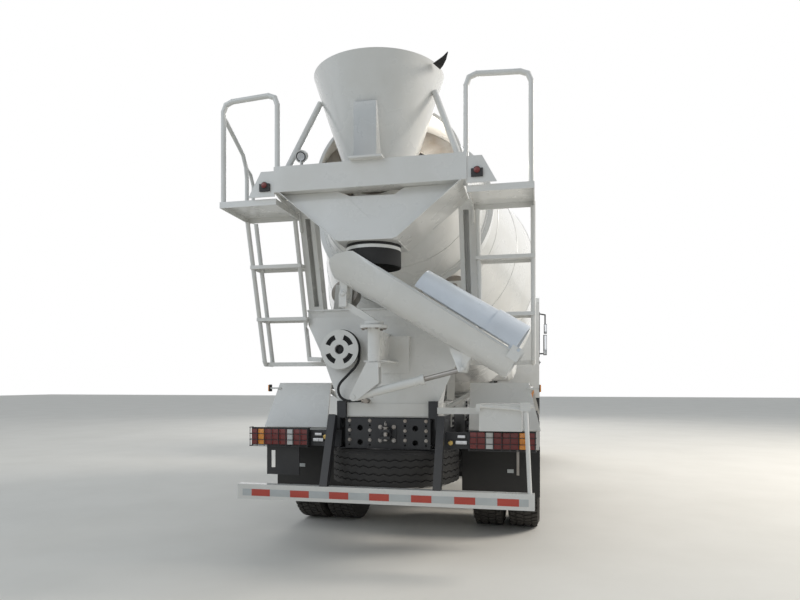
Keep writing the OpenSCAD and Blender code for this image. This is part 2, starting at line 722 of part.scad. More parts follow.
// Tanks and boxes on the sides
module fuel_tank() color([0.75, 0.76, 0.78]) {
  difference() {
    yz(520, 1130) round_rect(620, 1620, 480, 1080, 90);
    box(500, 514, 600, 1700, 400, 1100);
  }
  for (y = [780, 1120, 1460]) difference() {
    yz(514, 1137) round_rect(y - 30, y + 30, 473, 1087, 4);
    yz(513, 1140) round_rect(600, 1640, 481, 1079, 90);
  }
  for (y = [780, 1460]) box(rail_x, 530, y - 35, y + 35, 870, 1060);
  zcyl(1020, 760, 1075, 1125, 42);
}
module side_boxes() color(black) {
  // Battery box and air tanks on the left
  box(-1130, -560, 300, 950, 560, 1020);
  box(-1145, -1125, 310, 940, 575, 1005);
  box(-570, -rail_x, 400, 800, 900, 1000);
  for (y = [1120, 1400]) xcyl(-1100, -520, y, 760, 120);
  for (y = [1120, 1400]) box(-560, -rail_x, y - 30, y + 30, 800, 960);
  // Step box on the right, behind the front wheel
  box(560, 1100, axle1_y - 1305, axle1_y - 905, 560, 960);
  box(rail_x, 570, axle1_y - 1225, axle1_y - 1025, 880, 950);
  // Side guards of tube
  both() for (z = [650, 900]) bar([1170, -330, z], [1170, 240, z], 22);
  both() for (y = [-250, 180]) difference() {
    bar([rail_x - 20, y, 957], [1170, y, 890], 18);
    box(0, rail_x, y - 30, y + 30, 900, 1000);
  }
  both() for (y = [-250, 180]) bar([1170, y, 640], [1170, y, 910], 18);
}
module air_intake() color(black) {
  // Tower behind the cab's left rear corner
  difference() {
    box(-1180, -900, cab_y0 - 330, cab_y0 - 30, 1250, 2900);
    for (z = [2500:60:2800]) box(-1190, -1160, cab_y0 - 300, cab_y0 - 60, z, z + 30);
  }
  bar([-1040, cab_y0 - 190, 1300], [-500, cab_y0 - 220, 1080], 90);
  box(-1100, 60 - rail_x, cab_y0 - 280, cab_y0 - 190, rail_z1, 1250);
}

// Drum and what carries it
module drum_profile() {
  n = len(shell_line);
  polygon(concat([for (p = shell_line) [p[1], p[0]]], [[0, flange_s], [0, flange_s - drum_t]],
    [for (i = [n - 1:-1:0]) [max(1, shell_line[i][1] - drum_t), shell_line[i][0] - (i > 4 ? drum_t : 0)]]));
}
module drum_shell() color(white) on_drum() {
  rotate_extrude() drum_profile();
  // Rim of the mouth
  rotate_extrude() translate([600, 0]) square([mouth_r - 600, 26]);
  // Roller ring and its two shoulders
  rotate_extrude() polygon([for (c = [[-1, 0], [-1, 1], [1, 1], [1, 0]])
    [c[1] == 1 ? ring_r : shell_r(ring_s + c[0] * ring_hw) - 4, ring_s + c[0] * ring_hw]]);
  rotate_extrude() polygon([for (c = [[-16, 0], [-16, 18], [24, 18], [24, 0]])
    [shell_r(ring_s + c[0] * 1.6 + sign(c[0]) * ring_hw) - 4 + c[1], ring_s + c[0] + sign(c[0]) * ring_hw]]);
  // Hand hole cover
  translate([0, -drum_r * 0.985, 2500]) rotate([90, 0, 0]) cylinder(h = 40, r = 230);
  // Drive flange
  translate([0, 0, flange_s - 20]) cylinder(h = 60, r = 260);
  translate([0, 0, flange_s]) cylinder(h = 120, r = 70);
}
blade_n = 44;
blade_l = 2500;
module blade(start) {
  function s_at(i) = 30 + blade_l * i / blade_n;
  function a_at(i) = start + 620 * i / blade_n;
  function out_at(i) = shell_r(s_at(i)) - drum_t - 1.5;
  function in_at(i) = max(500, out_at(i) - 90 - 260 * min(1, i / 14));
  ring = [for (i = [0:blade_n]) each [
    [in_at(i) * cos(a_at(i)), in_at(i) * sin(a_at(i)), s_at(i) - 4],
    [out_at(i) * cos(a_at(i)), out_at(i) * sin(a_at(i)), s_at(i) - 4],
    [out_at(i) * cos(a_at(i)), out_at(i) * sin(a_at(i)), s_at(i) + 4],
    [in_at(i) * cos(a_at(i)), in_at(i) * sin(a_at(i)), s_at(i) + 4]]];
  sides = [for (i = [0:blade_n - 1], k = [0:3]) each [
    [4 * i + k, 4 * i + (k + 1) % 4, 4 * i + 4 + (k + 1) % 4],
    [4 * i + k, 4 * i + 4 + (k + 1) % 4, 4 * i + 4 + k]]];
  ends = [[0, 3, 2], [0, 2, 1], [4 * blade_n, 4 * blade_n + 1, 4 * blade_n + 2],
    [4 * blade_n, 4 * blade_n + 2, 4 * blade_n + 3]];
  polyhedron(points = ring, faces = concat(sides, ends));
}
module drum_blades() color(steel) on_drum() {
  blade(0);
  blade(180);
}
module roller(side) {
  on_drum(ring_s) translate([side * ring_down * sin(roller_deg), ring_down * cos(roller_deg), 0]) {
    cylinder(h = 2 * ring_hw + 8, r = roller_r, center = true);
    cylinder(h = 124, r = 60, center = true);
    cylinder(h = 210, r = 30, center = true);
  }
}
module roller_left() color(steel) roller(-1);
module roller_right() color(steel) roller(1);
module front_stand() color(white) {
  // Gearbox of the drum
  on_drum(flange_s + 48) difference() {
    cylinder(h = 90, r = 235);
    translate([0, 0, -1]) cylinder(h = 86, r = 70 + pin_gap);
  }
  on_drum(flange_s + 50) {
    translate([0, 0, 80]) cylinder(h = 260, r = 205);
    translate([0, 0, 330]) cylinder(h = 170, r = 130);
  }
  // Pedestal
  both() {
    yz(250, 275) polygon([[840, sub_z1], [980, 1700], [1220, 1700], [1480, sub_z1]]);
    box(240, 425, 820, 1500, sub_z1, sub_z1 + 14);
  }
  yz(-255, 255) polygon([[940, 1560], [985, 1700], [1215, 1700], [1320, 1560]]);
  box(-255, 255, 990, 1110, 1660, 1790);
}
// Water tank, midway between the drum's gearbox and the cab
tank_y = cab_y0 - 550;
tank_z = 1760;
module water_tank() color(white) {
  translate([0, tank_y, tank_z]) rotate([0, 90, 0]) rotate_extrude()
    polygon([[0, -880], [150, -862], [250, -810], [290, -740], [290, 740], [250, 810], [150, 862], [0, 880]]);
  both() yz(360, 385) polygon([[sub_y1 - 100, sub_z1], [tank_y - 260, tank_z - 120],
    [tank_y + 260, tank_z - 120], [sub_y1, sub_z1]]);
  for (x = [-430, 430]) xcyl(x - 25, x + 25, tank_y, tank_z, 297);
  zcyl(0, tank_y, tank_z + 280, tank_z + 340, 90);
}

// Spare wheel under the frame's end
spare_z = 737;
module spare_tyre() color(rubber) translate([0, gy(640), spare_z]) tyre_body();
module spare_rim() color(steel) {
  translate([0, gy(640), spare_z]) rim_ring();
  translate([0, gy(640), spare_z]) rotate_extrude() polygon([[252, 40], [252, 54], [150, 96], [60, 96],
    [60, 82], [145, 82], [240, 40]]);
  // Carrier
  zcyl(0, gy(640), spare_z + 68, spare_z + 82 - pin_gap, 110);
  zcyl(0, gy(640), spare_z + 70, rail_z0 + 60, 40);
  box(rail_w - rail_x, rail_x - rail_w, gy(600), gy(680), rail_z0 + 2, rail_z0 + 40);
}

// Hose reel and its hose
module hose_reel() color(white) {
  rx = -402;
  rz = 1720;
  difference() {
    ycyl(rx, gy(250), gy(256), rz, 165);
    ycyl(rx, gy(240), gy(262), rz, 40);
    for (a = [20, 110, 200, 290]) translate([rx, gy(262), rz]) rotate([90, 0, 0]) rotate([0, 0, a])
      rotate_extrude(angle = 50) translate([85, 0]) square([42, 30]);
  }
  difference() {
    ycyl(rx, gy(350), gy(356), rz, 165);
    ycyl(rx, gy(340), gy(362), rz, 40);
  }
  difference() {
    ycyl(rx, gy(254), gy(440), rz, 62);
    ycyl(rx, gy(240), gy(300), rz, 42);
    ahead_of_plate();
  }
}
// Route of the hanging hose: x, distance ahead of the guard's rear face, z
hose_r = 11;
hose_path = [[-242, 303, 1720], [-242, 301, 1693], [-242, 299, 1665], [-246, 296, 1629],
  [-260, 292, 1595], [-280, 287, 1565], [-315, 277, 1526], [-351, 267, 1487], [-386, 257, 1449],
  [-404, 251, 1417], [-410, 247, 1385], [-404, 244, 1352], [-388, 243, 1324], [-362, 242, 1303],
  [-331, 242, 1291], [-300, 242, 1290], [-250, 242, 1290], [-205, 242, 1290]];
// Points on a smooth curve through the route, then a ring of eight around each
function hose_at(t) = let (i = min(floor(t), len(hose_path) - 2), f = t - i, p = hose_path[max(0, i - 1)],
  q = hose_path[i], r = hose_path[i + 1], w = hose_path[min(len(hose_path) - 1, i + 2)])
  0.5 * (2 * q + (r - p) * f + (2 * p - 5 * q + 4 * r - w) * f * f + (3 * q - p - 3 * r + w) * f * f * f);
function unit(v) = v / norm(v);
hose_rings = 40;
module hose_tube() {
  centre = [for (k = [0:hose_rings]) hose_at((len(hose_path) - 1) * k / hose_rings)];
  way = [for (k = [0:hose_rings]) k == 0 ? [0, 0, -1] :
    unit(centre[min(k + 1, hose_rings)] - centre[max(k - 1, 0)])];
  side = [for (w = way) unit(cross(w, [0, 1, 0]))];
  up = [for (k = [0:hose_rings]) cross(side[k], way[k])];
  points = [for (k = [0:hose_rings], a = [0:45:315])
    centre[k] + hose_r * (cos(a) * side[k] + sin(a) * up[k])];
  walls = [for (k = [0:hose_rings - 1], a = [0:7])
    [8 * k + a, 8 * k + 8 + a, 8 * k + 8 + (a + 1) % 8, 8 * k + (a + 1) % 8]];
  ends = [[for (a = [0:7]) a], [for (a = [7:-1:0]) 8 * hose_rings + a]];
  translate([0, guard_y, 0]) polyhedron(points = points, faces = concat(walls, ends));
}
module water_hose() color(rubber) hose_tube();
// Outlet on the hourglass plate that the hose's lower end screws into, with its valve
module water_outlet() color(steel) difference() {
  union() {
    xcyl(-205, -160, gy(242), 1290, 15);
    ycyl(-168, gy(224), gy(330), 1290, 19);
    zcyl(-168, gy(242), 1290, 1325, 8);
    box(-178, -108, gy(234), gy(250), 1319, 1327);
  }
  ahead_of_plate();
}
// Hose wound on the reel, with its last turn leaving it
module hose_coil() color(rubber) {
  difference() {
    ycyl(-402, gy(256.3), gy(349.7), 1720, 150);
    ycyl(-402, gy(250), gy(360), 1720, 62.3);
    box(-253.6, -240, gy(290), gy(316), 1560, 1720);
  }
  translate([-402, gy(303), 1720]) rotate([90, 0, 0]) rotate_extrude(angle = 110)
    translate([160, 0]) circle(r = hose_r);
}

// Swing post of the chute
module chute_post() color(white) {
  difference() {
    union() {
      zcyl(post_x, swing_y, 1601, 1868, 48);
      zcyl(post_x, swing_y, 1856, 1880, 106);
      // Bracket back to the hourglass plate
      box(post_x - 12, post_x + 12, swing_y + 30, gy(440), 1601, 1850);
      box(-60, 172, gy(340), gy(440), 1520, 1828);
      box(post_x - 90, post_x + 90, swing_y + 30, gy(430), 1601, 1614);
    }
    ahead_of_plate();
    zcyl(post_x, swing_y, 1590, 1900, 30 + pin_gap);
    for (a = [0:30:330]) zcyl(post_x + 86 * cos(a), swing_y + 86 * sin(a), 1850, 1890, 9);
  }
}
module chute_arm() color(white) {
  // Shaft, and the cap that turns on the disc
  zcyl(post_x, swing_y, 1540, 1920, 30);
  zcyl(post_x, swing_y, 1886, 1910, 75);
  spar([post_x, swing_y, 1905], [-140, swing_y, 1990], 60, 50);
  spar([-122, swing_y, 1974], [lift_x + 2, swing_y, lift_z - 70], 60, 50);
  both_y() difference() {
    union() {
      box(lift_x - 30, lift_x + 30, swing_y + 52, swing_y + 66, lift_z - 90, lift_z);
      ycyl(lift_x, swing_y + 52, swing_y + 66, lift_z, 30);
    }
    ycyl(lift_x, swing_y + 40, swing_y + 80, lift_z, 21 + pin_gap);
  }
  box(lift_x - 30, lift_x + 30, swing_y - 66, swing_y + 66, lift_z - 98, lift_z - 70);
  // Foot: two plates that carry the jack between them
  both_y() difference() {
    union() {
      xz(swing_y + 40, swing_y + 50) polygon([[post_x - 46, 1596], [post_x + 46, 1596], [post_x + 50, 1440],
        [jack_x + 24, jack_z - 26], [jack_x - 28, jack_z - 10], [jack_x - 22, jack_z + 24]]);
      ycyl(jack_x, swing_y + 40, swing_y + 50, jack_z, 31);
    }
    ycyl(jack_x, swing_y + 30, swing_y + 60, jack_z, 16 + pin_gap);
  }
  zcyl(post_x, swing_y, 1560, 1596, 52);
}
module both_y() {
  children();
  translate([0, 2 * swing_y, 0]) mirror([0, 1, 0]) children();
}
chute_x0 = -300;
chute_z0 = 2233;
// Local x runs down the chute, local z up from its bottom line
module on_chute() {
  translate([chute_x0, swing_y, chute_z0]) rotate([0, chute_tilt, 0]) children();
}
module trough(l, r1, r2, t) {
  rotate([0, 90, 0]) difference() {
    cylinder(h = l, r1 = r1, r2 = r2);
    translate([0, 0, -1]) cylinder(h = l + 2, r1 = r1 - t, r2 = r2 - t);
    translate([-2 * r1, -2 * r1, -2]) cube([2 * r1, 4 * r1, l + 4]);
  }
}
module main_chute() color(white) {
  // Round-bottomed trough, its upper end cut upright and level
  difference() {
    on_chute() translate([0, 0, chute_r1]) {
      trough(chute_l, chute_r1, chute_r2, chute_t);
      translate([-200, 0, 0]) trough(200, chute_r1 + 0.01, chute_r1, chute_t);
    }
    box(-900, chute_x0 - 8, swing_y - 300, swing_y + 300, 1900, 2800);
    box(-900, 0, swing_y - 300, swing_y + 300, 2418, 2800);
  }
  intersection() {
    box(chute_x0 - 8, chute_x0 - 2, swing_y - 300, swing_y + 300, 2100, 2418);
    on_chute() translate([-200, 0, chute_r1]) rotate([0, 90, 0]) cylinder(h = 400, r = chute_r1 - 1);
  }
  on_chute() translate([0, 0, chute_r1]) {
    // Edge bars
    for (side = [-1, 1]) {
      bar([chute_l * 0.2, side * (chute_r1 * 0.8 + chute_r2 * 0.2 - 2), -6],
        [chute_l - 50, side * (chute_r2 - 2 + (chute_r1 - chute_r2) * 50 / chute_l), -6], 9);
      // Lugs of the fold hinge
      difference() {
        translate([chute_l - 70, side * chute_r2 - 6 + side * 12, -60]) cube([84, 12, 96]);
        ycyl(chute_l - 20, -300, 300, fold_up - chute_r1, 12 + pin_gap);
      }
    }
  }
  // Lift lug and pin
  difference() {
    union() {
      ycyl(lift_x, swing_y - 46, swing_y + 46, lift_z, 30);
      box(lift_x - 30, lift_x + 30, swing_y - 46, swing_y + 46, lift_z, lift_z + 110);
    }
    on_chute() translate([-200, 0, chute_r1]) rotate([0, 90, 0]) cylinder(h = 800, r = chute_r1 - chute_t);
  }
  ycyl(lift_x, swing_y - 72, swing_y + 72, lift_z, 21);
  // Lugs on each side of the jack's rod eye, with the heads of their pin
  difference() {
    both_y() {
      xz(swing_y + 30, swing_y + 42) polygon([[eye_x - 100, 1700], [eye_x + 70, 1640],
        [eye_x + 32, eye_z - 26], [eye_x - 30, eye_z - 22]]);
      ycyl(eye_x, swing_y + 41, swing_y + 50, eye_z, 20);
    }
    on_chute() translate([0, 0, chute_r1]) rotate([0, 90, 0])
      cylinder(h = chute_l, r1 = chute_r1 - chute_t, r2 = chute_r2 - chute_t);
  }
}
// Folded back over the main chute, open side down
module fold_chute() color([0.8, 0.83, 0.86]) {
  on_chute() translate([chute_l - 20, 0, fold_up]) rotate([0, 180, 0]) {
    translate([26, 0, 0]) trough(fold_l, fold_r, fold_r - 26, chute_t);
    translate([26, 0, 0]) trough(250, fold_r + 9, fold_r + 3, 10);
    for (side = [-1, 1]) difference() {
      translate([-16, side * (fold_r - 4) - 5, -18]) cube([90, 10, 36]);
      rotate([90, 0, 0]) cylinder(h = 600, r = 12 + pin_gap, center = true);
    }
    // Hinge pin
    rotate([90, 0, 0]) cylinder(h = 2 * fold_r + 44, r = 12, center = true);
  }
}
jack_deg = atan2(eye_z - jack_z, eye_x - jack_x);
jack_len = norm([eye_x - jack_x, eye_z - jack_z]);
module on_jack() {
  translate([jack_x, swing_y, jack_z]) rotate([0, -jack_deg, 0]) children();
}
module jack_body() color(white) on_jack() {
  difference() {
    rotate([0, 90, 0]) translate([0, 0, 24]) cylinder(h = 536, r = 33);
    rotate([0, 90, 0]) translate([0, 0, 40]) cylinder(h = 600, r = 19 + pin_gap);
  }
  rotate([90, 0, 0]) cylinder(h = 70, r = 30, center = true);
  rotate([90, 0, 0]) cylinder(h = 112, r = 16, center = true);
  rotate([0, 90, 0]) translate([0, 0, 528]) difference() {
    cylinder(h = 32, r = 40);
    translate([0, 0, -1]) cylinder(h = 40, r = 19 + pin_gap);
  }
}
module jack_rod() color(steel) on_jack() {
  rotate([0, 90, 0]) translate([0, 0, 240]) cylinder(h = jack_len - 262, r = 19);
  translate([jack_len, 0, 0]) rotate([90, 0, 0]) cylinder(h = 58, r = 28, center = true);
}

// Wheels, local z points outwards
module tyre_body() {
  rotate_extrude() polygon([[seat_r, -100], [288, -104], [302, -136], [370, -tyre_hw], [470, -tyre_hw + 2],
    [520, -137], [tyre_r, -116], [tyre_r, 116], [520, 137], [470, tyre_hw - 2], [370, tyre_hw],
    [302, 136], [288, 104], [seat_r, 100]]);
}
module rim_ring() {
  rotate_extrude() polygon([[286, -116], [286, -106], [seat_r - rim_gap, -104], [seat_r - rim_gap, 104],
    [286, 106], [286, 116], [250, 116], [246, 100], [246, -100], [250, -116]]);
}
module on_axle(x, y, side) {
  translate([side * x, y, axle_z]) rotate([0, side * 90, 0]) children();
}
module front_rim(side) {
  on_axle(front_x, axle1_y, side) {
    rim_ring();
    difference() {
      rotate_extrude() polygon([[250, 34], [250, 48], [205, 92], [150, 104], [60, 104], [60, 90], [140, 90],
        [192, 78], [234, 34]]);
      for (i = [0:hand_holes - 1]) rotate([0, 0, i * 360 / hand_holes]) translate([196, 0, 0])
        cylinder(h = 200, r = 29);
    }
    // Hub and brake drum, bored for the spindle
    difference() {
      union() {
        translate([0, 0, -80]) cylinder(h = 240, r = 92);
        translate([0, 0, 102]) cylinder(h = 14, r = 168);
        translate([0, 0, -84]) cylinder(h = 130, r = 205);
      }
      translate([0, 0, -100]) cylinder(h = 245, r = spindle_r + bearing_gap);
      translate([0, 0, -85]) cylinder(h = 110, r = 196);
    }
    difference() {
      translate([0, 0, -60]) cylinder(h = 90, r = 92);
      translate([0, 0, -100]) cylinder(h = 245, r = spindle_r + bearing_gap);
    }
  }
}
module twin_tyres(y, side) on_axle(twin_x, y, side) {
  for (w = [-twin_gap / 2, twin_gap / 2]) translate([0, 0, w]) tyre_body();
}
module twin_rims(y, side) on_axle(twin_x, y, side) {
  for (w = [-1, 1]) translate([0, 0, w * twin_gap / 2]) rim_ring();
  for (w = [-1, 1]) difference() {
    mirror([0, 0, w < 0 ? 1 : 0]) rotate_extrude() polygon([[250, 120], [250, 134], [236, 134], [205, 30],
      [150, 16], [60, 16], [60, 2], [155, 2], [216, 16], [244, 120]]);
    for (i = [0:hand_holes - 1]) rotate([0, 0, i * 360 / hand_holes]) translate([200, 0, -100])
      cylinder(h = 200, r = 27);
  }
  difference() {
    union() {
      translate([0, 0, -240]) cylinder(h = 470, r = 110);
      translate([0, 0, -14]) cylinder(h = 30, r = 168);
      translate([0, 0, -285]) cylinder(h = 150, r = 205);
    }
    translate([0, 0, -300]) cylinder(h = 518, r = spindle_r + bearing_gap);
    translate([0, 0, -286]) cylinder(h = 120, r = 196);
  }
  translate([0, 0, 228]) cylinder(h = 16, r = 80);
}
module front_tyre(side) on_axle(front_x, axle1_y, side) tyre_body();
module front_tyre_left() color(rubber) front_tyre(-1);
module front_tyre_right() color(rubber) front_tyre(1);
module front_rim_left() color(steel) front_rim(-1);
module front_rim_right() color(steel) front_rim(1);
module mid_tyres_left() color(rubber) twin_tyres(axle2_y, -1);
module mid_tyres_right() color(rubber) twin_tyres(axle2_y, 1);
module rear_tyres_left() color(rubber) twin_tyres(axle3_y, -1);
module rear_tyres_right() color(rubber) twin_tyres(axle3_y, 1);
module mid_rims_left() color(steel) twin_rims(axle2_y, -1);
module mid_rims_right() color(steel) twin_rims(axle2_y, 1);
module rear_rims_left() color(steel) twin_rims(axle3_y, -1);
module rear_rims_right() color(steel) twin_rims(axle3_y, 1);

// Steering
module knuckle() {
  zcyl(king_x, axle1_y, 440, 660, 25);
  box(king_x - 58, king_x + 92, axle1_y - 60, axle1_y + 60, 626, 662);
  box(king_x - 58, king_x + 92, axle1_y - 60, axle1_y + 60, 438, 474);
  box(king_x + 62, king_x + 92, axle1_y - 60, axle1_y + 60, 438, 662);
  xcyl(king_x + 90, front_x + 140, axle1_y, axle_z, spindle_r);
  xcyl(king_x + 78, king_x + 90, axle1_y, axle_z, 150);
  // Arm to the tie rod
  difference() {
    union() {
      spar([king_x, axle1_y - 20, 456], [tie_x, tie_y, 456], 50, 30);
      zcyl(tie_x, tie_y, 441, 471, 30);
    }
    zcyl(tie_x, tie_y, 430, 480, 14 + pin_gap);
  }
}
module knuckle_right() color(black) knuckle();
module knuckle_left() color(black) mirror([1, 0, 0]) knuckle();
module tie_rod() color(black) {
  xcyl(-tie_x, tie_x, tie_y, 410, 18);
  both() {
    zcyl(tie_x, tie_y, 388, 440.7, 26);
    zcyl(tie_x, tie_y, 390, 484, 14);
  }
}

// Cab
side_line = [[cab_y0, cab_z0], [cab_y0, cab_z1 - 130], [cab_y0 + 30, cab_z1 - 60],
  [cab_y0 + 110, cab_z1 - 25], [cy(1230), cab_z1], [cy(530), cab_z1 - 10], [cy(350), cab_z1 - 45],
  [cy(260), cab_z1 - 130], [cy(70), cab_z1 - 950], [cy(25), cab_z1 - 1090], [cab_y1, cab_z1 - 1490],
  [cy(6), cab_z0]];
inner_line = [[cab_y0 + cab_t, cab_z0 - 1], [cab_y0 + cab_t, cab_z1 - 150], [cab_y0 + 70, cab_z1 - 100],
  [cab_y0 + 130, cab_z1 - 70], [cy(1230), cab_z1 - cab_t], [cy(540), cab_z1 - 55], [cy(380), cab_z1 - 85],
  [cy(305), cab_z1 - 150], [cy(118), cab_z1 - 960], [cy(75), cab_z1 - 1095], [cy(cab_t), cab_z1 - 1490],
  [cy(cab_t + 6), cab_z0 - 1]];
module plan_shape(inset) {
  b = body_x - inset;
  f = cab_y1 - inset;
  polygon([[-b, cab_y0 - 5 + inset], [-b, cy(450)], [-b + 22, cy(280)], [-b + 90, f - 150],
    [-b + 230, f - 45], [-b + 480, f - 5], [0, f + 4], [b - 480, f - 5], [b - 230, f - 45],
    [b - 90, f - 150], [b - 22, cy(280)], [b, cy(450)], [b, cab_y0 - 5 + inset]]);
}
module cab_solid() {
  intersection() {
    yz(-body_x, body_x) polygon(side_line);
    xy(cab_z0, cab_z1 + 1) plan_shape(0);
  }
}
module cab_hollow() {
  intersection() {
    yz(-body_x, body_x) polygon(inner_line);
    xy(cab_z0 - 1, cab_z1 + 1) plan_shape(cab_t);
  }
}
module cab_wall() {
  difference() {
    cab_solid();
    cab_hollow();
  }
}
module door_area(side, gap) {
  depth = gap == 0 ? 55 : 95;
  scale([side, 1, 1])
    box(body_x - depth, body_x + 5, door_y0 - gap, door_y1 + gap, door_z0 - gap, door_z1 + gap);
}
arch_r = tyre_r + 170;
module windscreen_area(gap) {
  box(155 - body_x + gap, body_x - 155 - gap, cy(430), cy(-170), glass_z0 + 10 + gap, glass_z1 + 40 - gap);
}
module window_shape(shrink) {
  polygon([[door_y0 + 90 + shrink, glass_z0 + shrink], [door_y0 + 90 + shrink, glass_z1 - shrink],
    [door_y1 - 165 - shrink, glass_z1 - shrink], [door_y1 - 95 - shrink, glass_z1 - 170 - shrink],
    [door_y1 - 65 - shrink, glass_z0 - 90 + shrink], [door_y1 - 395 + shrink, glass_z0 - 90 + shrink],
    [door_y1 - 455 + shrink, glass_z0 + shrink]]);
}
module door_hinge_ear(z) {
  difference() {
    box(door_hinge_x - 30, door_hinge_x + 2, door_hinge_y - 13, door_y1 + door_gap + 8, z - 12, z + 12);
    zcyl(door_hinge_x, door_hinge_y, z - 20, z + 20, pin_r + pin_gap);
  }
}
door_hinge_zs = [1500, 2300];
flap_hinge_xs = [-520, 520];
module cab_shell() color(white) {
  both() for (z = door_hinge_zs) door_hinge_ear(z);
  for (x = flap_hinge_xs) difference() {
    box(x - 12, x + 12, flap_pin_y - 13, flap_pin_y + 8, flap_z1 - 29, flap_z1 + door_gap + 8);
    xcyl(x - 20, x + 20, flap_pin_y, flap_z1 - 16, pin_r + pin_gap);
  }
  // Pivot lugs and pins under the floor's front edge
  both() {
    box(rail_x + 37, rail_x + 57, cab_pivot_y - 32, cab_pivot_y + 32, cab_pivot_z, cab_z0 + 112);
    xcyl(rail_x + 2, rail_x + 57, cab_pivot_y, cab_pivot_z, 20);
    xcyl(rail_x + 37, rail_x + 57, cab_pivot_y, cab_pivot_z, 32);
  }
  difference() {
    union() {
      cab_wall();
      difference() {
        box(-body_x + cab_t - 2, body_x - cab_t + 2, cab_y0 + cab_t - 2, cy(42), cab_z0 + 110,
          cab_z0 + 140);
        box(-430, 430, cab_y0, cy(530), cab_z0 + 100, cab_z0 + 150);
      }
    }
    both() door_area(1, door_gap);
    // Windscreen
    windscreen_area(0);
    // Rear window and the tunnel's eight-cornered opening
    xz(cab_y0 - 10, cab_y0 + cab_t + 15) round_rect(-560, 560, glass_z1 - 510, glass_z1 - 90, 70);
    xz(cab_y0 - 10, cab_y0 + cab_t + 15) polygon([[-520, cab_z0 - 80], [-520, cab_z0 + 380],
      [-380, cab_z0 + 540], [380, cab_z0 + 540], [520, cab_z0 + 380], [520, cab_z0 - 80]]);
    // Front flap opening
    box(-flap_x - door_gap, flap_x + door_gap, cy(110), cy(-70), flap_z0 - door_gap, flap_z1 + door_gap);
    // Wheel arches
    both() xcyl(700, body_x + 10, axle1_y, axle_z, arch_r);
  }
  // Tunnel over the engine
  difference() {
    yz(-450, 450) polygon([[cab_y0 + cab_t - 2, cab_z0 + 110], [cab_y0 + cab_t - 2, cab_z0 + 570],
      [cy(630), cab_z0 + 520], [cy(500), cab_z0 + 110]]);
    yz(-430, 430) polygon([[cab_y0 + cab_t - 3, cab_z0 + 100], [cab_y0 + cab_t - 3, cab_z0 + 550],
      [cy(645), cab_z0 + 500], [cy(520), cab_z0 + 100]]);
  }
  // Roof hatch
  box(-330, 330, cy(1630), cy(1110), cab_z1 - 30, cab_z1 + 22);
}
module cab_glass() color(glassy) {
  intersection() {
    difference() {
      cab_solid();
      translate([0, -glass_t, 0]) cab_solid();
    }
    windscreen_area(0.3);
  }
  xz(cab_y0 + 16, cab_y0 + 16 + glass_t)
    round_rect(-559.7, 559.7, glass_z1 - 509.7, glass_z1 - 90.3, 69.7);
}
module door_shape(side) {
  difference() {
    intersection() {
      cab_wall();
      door_area(side, 0);
    }
    scale([side, 1, 1]) yz(body_x - 100, body_x + 10) window_shape(0);
    xcyl(-body_x - 10, body_x + 10, axle1_y, axle_z, arch_r + door_gap);
    for (z = door_hinge_zs) scale([side, 1, 1])
      box(door_hinge_x - 60, body_x + 5, door_hinge_y - 20, door_y1 + 5, z - 18, z + 18);
  }
  for (z = door_hinge_zs) zcyl(side * door_hinge_x, door_hinge_y, z - 32, z + 32, pin_r);
}
module door_glass(side) {
  scale([side, 1, 1]) yz(body_x - 28, body_x - 28 + glass_t) window_shape(0.3);
}
module door_left() color(white) door_shape(-1);
module door_right() color(white) door_shape(1);
module door_glass_left() color(glassy) door_glass(-1);
module door_glass_right() color(glassy) door_glass(1);
module front_flap() color(white) {
  difference() {
    intersection() {
      cab_wall();
      box(-flap_x, flap_x, cy(110), cy(-70), flap_z0, flap_z1);
    }
    for (x = flap_hinge_xs) box(x - 18, x + 18, cy(130), cy(-70), flap_z1 - 40, flap_z1 + 5);
  }
  for (x = flap_hinge_xs) xcyl(x - 32, x + 32, flap_pin_y, flap_z1 - 16, pin_r);
}
module seat(x) {
  box(x - 250, x + 250, cy(1630), cy(1130), cab_z0 + 570, cab_z0 + 700);
  box(x - 230, x + 230, cy(1570), cy(1190), cab_z0 + 140, cab_z0 + 580);
  translate([x, cy(1600), cab_z0 + 680]) rotate([12, 0, 0]) translate([-240, -70, 0]) cube([480, 120, 640]);
  translate([x, cy(1600), cab_z0 + 680]) rotate([12, 0, 0]) {
    translate([-140, -60, 650]) cube([280, 100, 190]);
    for (post = [-60, 60]) translate([post, -10, 620]) cylinder(h = 60, r = 8);
  }
}
seat_x = 720;
module cab_interior() color([0.3, 0.3, 0.31]) {
  seat(-seat_x);
  seat(seat_x);
  // Dashboard
  difference() {
    intersection() {
      union() {
        yz(69 - body_x, body_x - 69) polygon([[cy(480), cab_z0 + 520], [cy(460), cab_z0 + 810],
          [cy(390), cab_z0 + 850], [cy(130), cab_z0 + 820], [cy(130), cab_z0 + 380], [cy(380), cab_z0 + 380]]);
        both() box(body_x - 385, body_x - 125, cy(410), cy(150), cab_z0 + 140, cab_z0 + 420);
      }
      xy(cab_z0 + 140, cab_z0 + 920) plan_shape(cab_t + 12);
    }
    for (x = flap_hinge_xs) box(x - 60, x + 60, cy(150), cy(30), flap_z1 - 50, flap_z1 + 170);
  }
  // Steering column and wheel
  bar([-seat_x, cy(430), cab_z0 + 620], [-seat_x, cy(660), cab_z0 + 872], 28);
  translate([-seat_x, cy(660), cab_z0 + 872]) rotate([42, 0, 0]) {
    rotate_extrude() translate([220, 0]) circle(15);
    translate([0, 0, -10]) cylinder(h = 20, r = 60);
    for (a = [30, 150, 270]) rotate([0, 0, a]) translate([0, -14, -8]) cube([222, 28, 16]);
  }
  // Bunk
  box(55 - body_x, body_x - 55, cab_y0 + cab_t + 0.3, cab_y0 + 470, cab_z0 + 572, cab_z0 + 720);
}
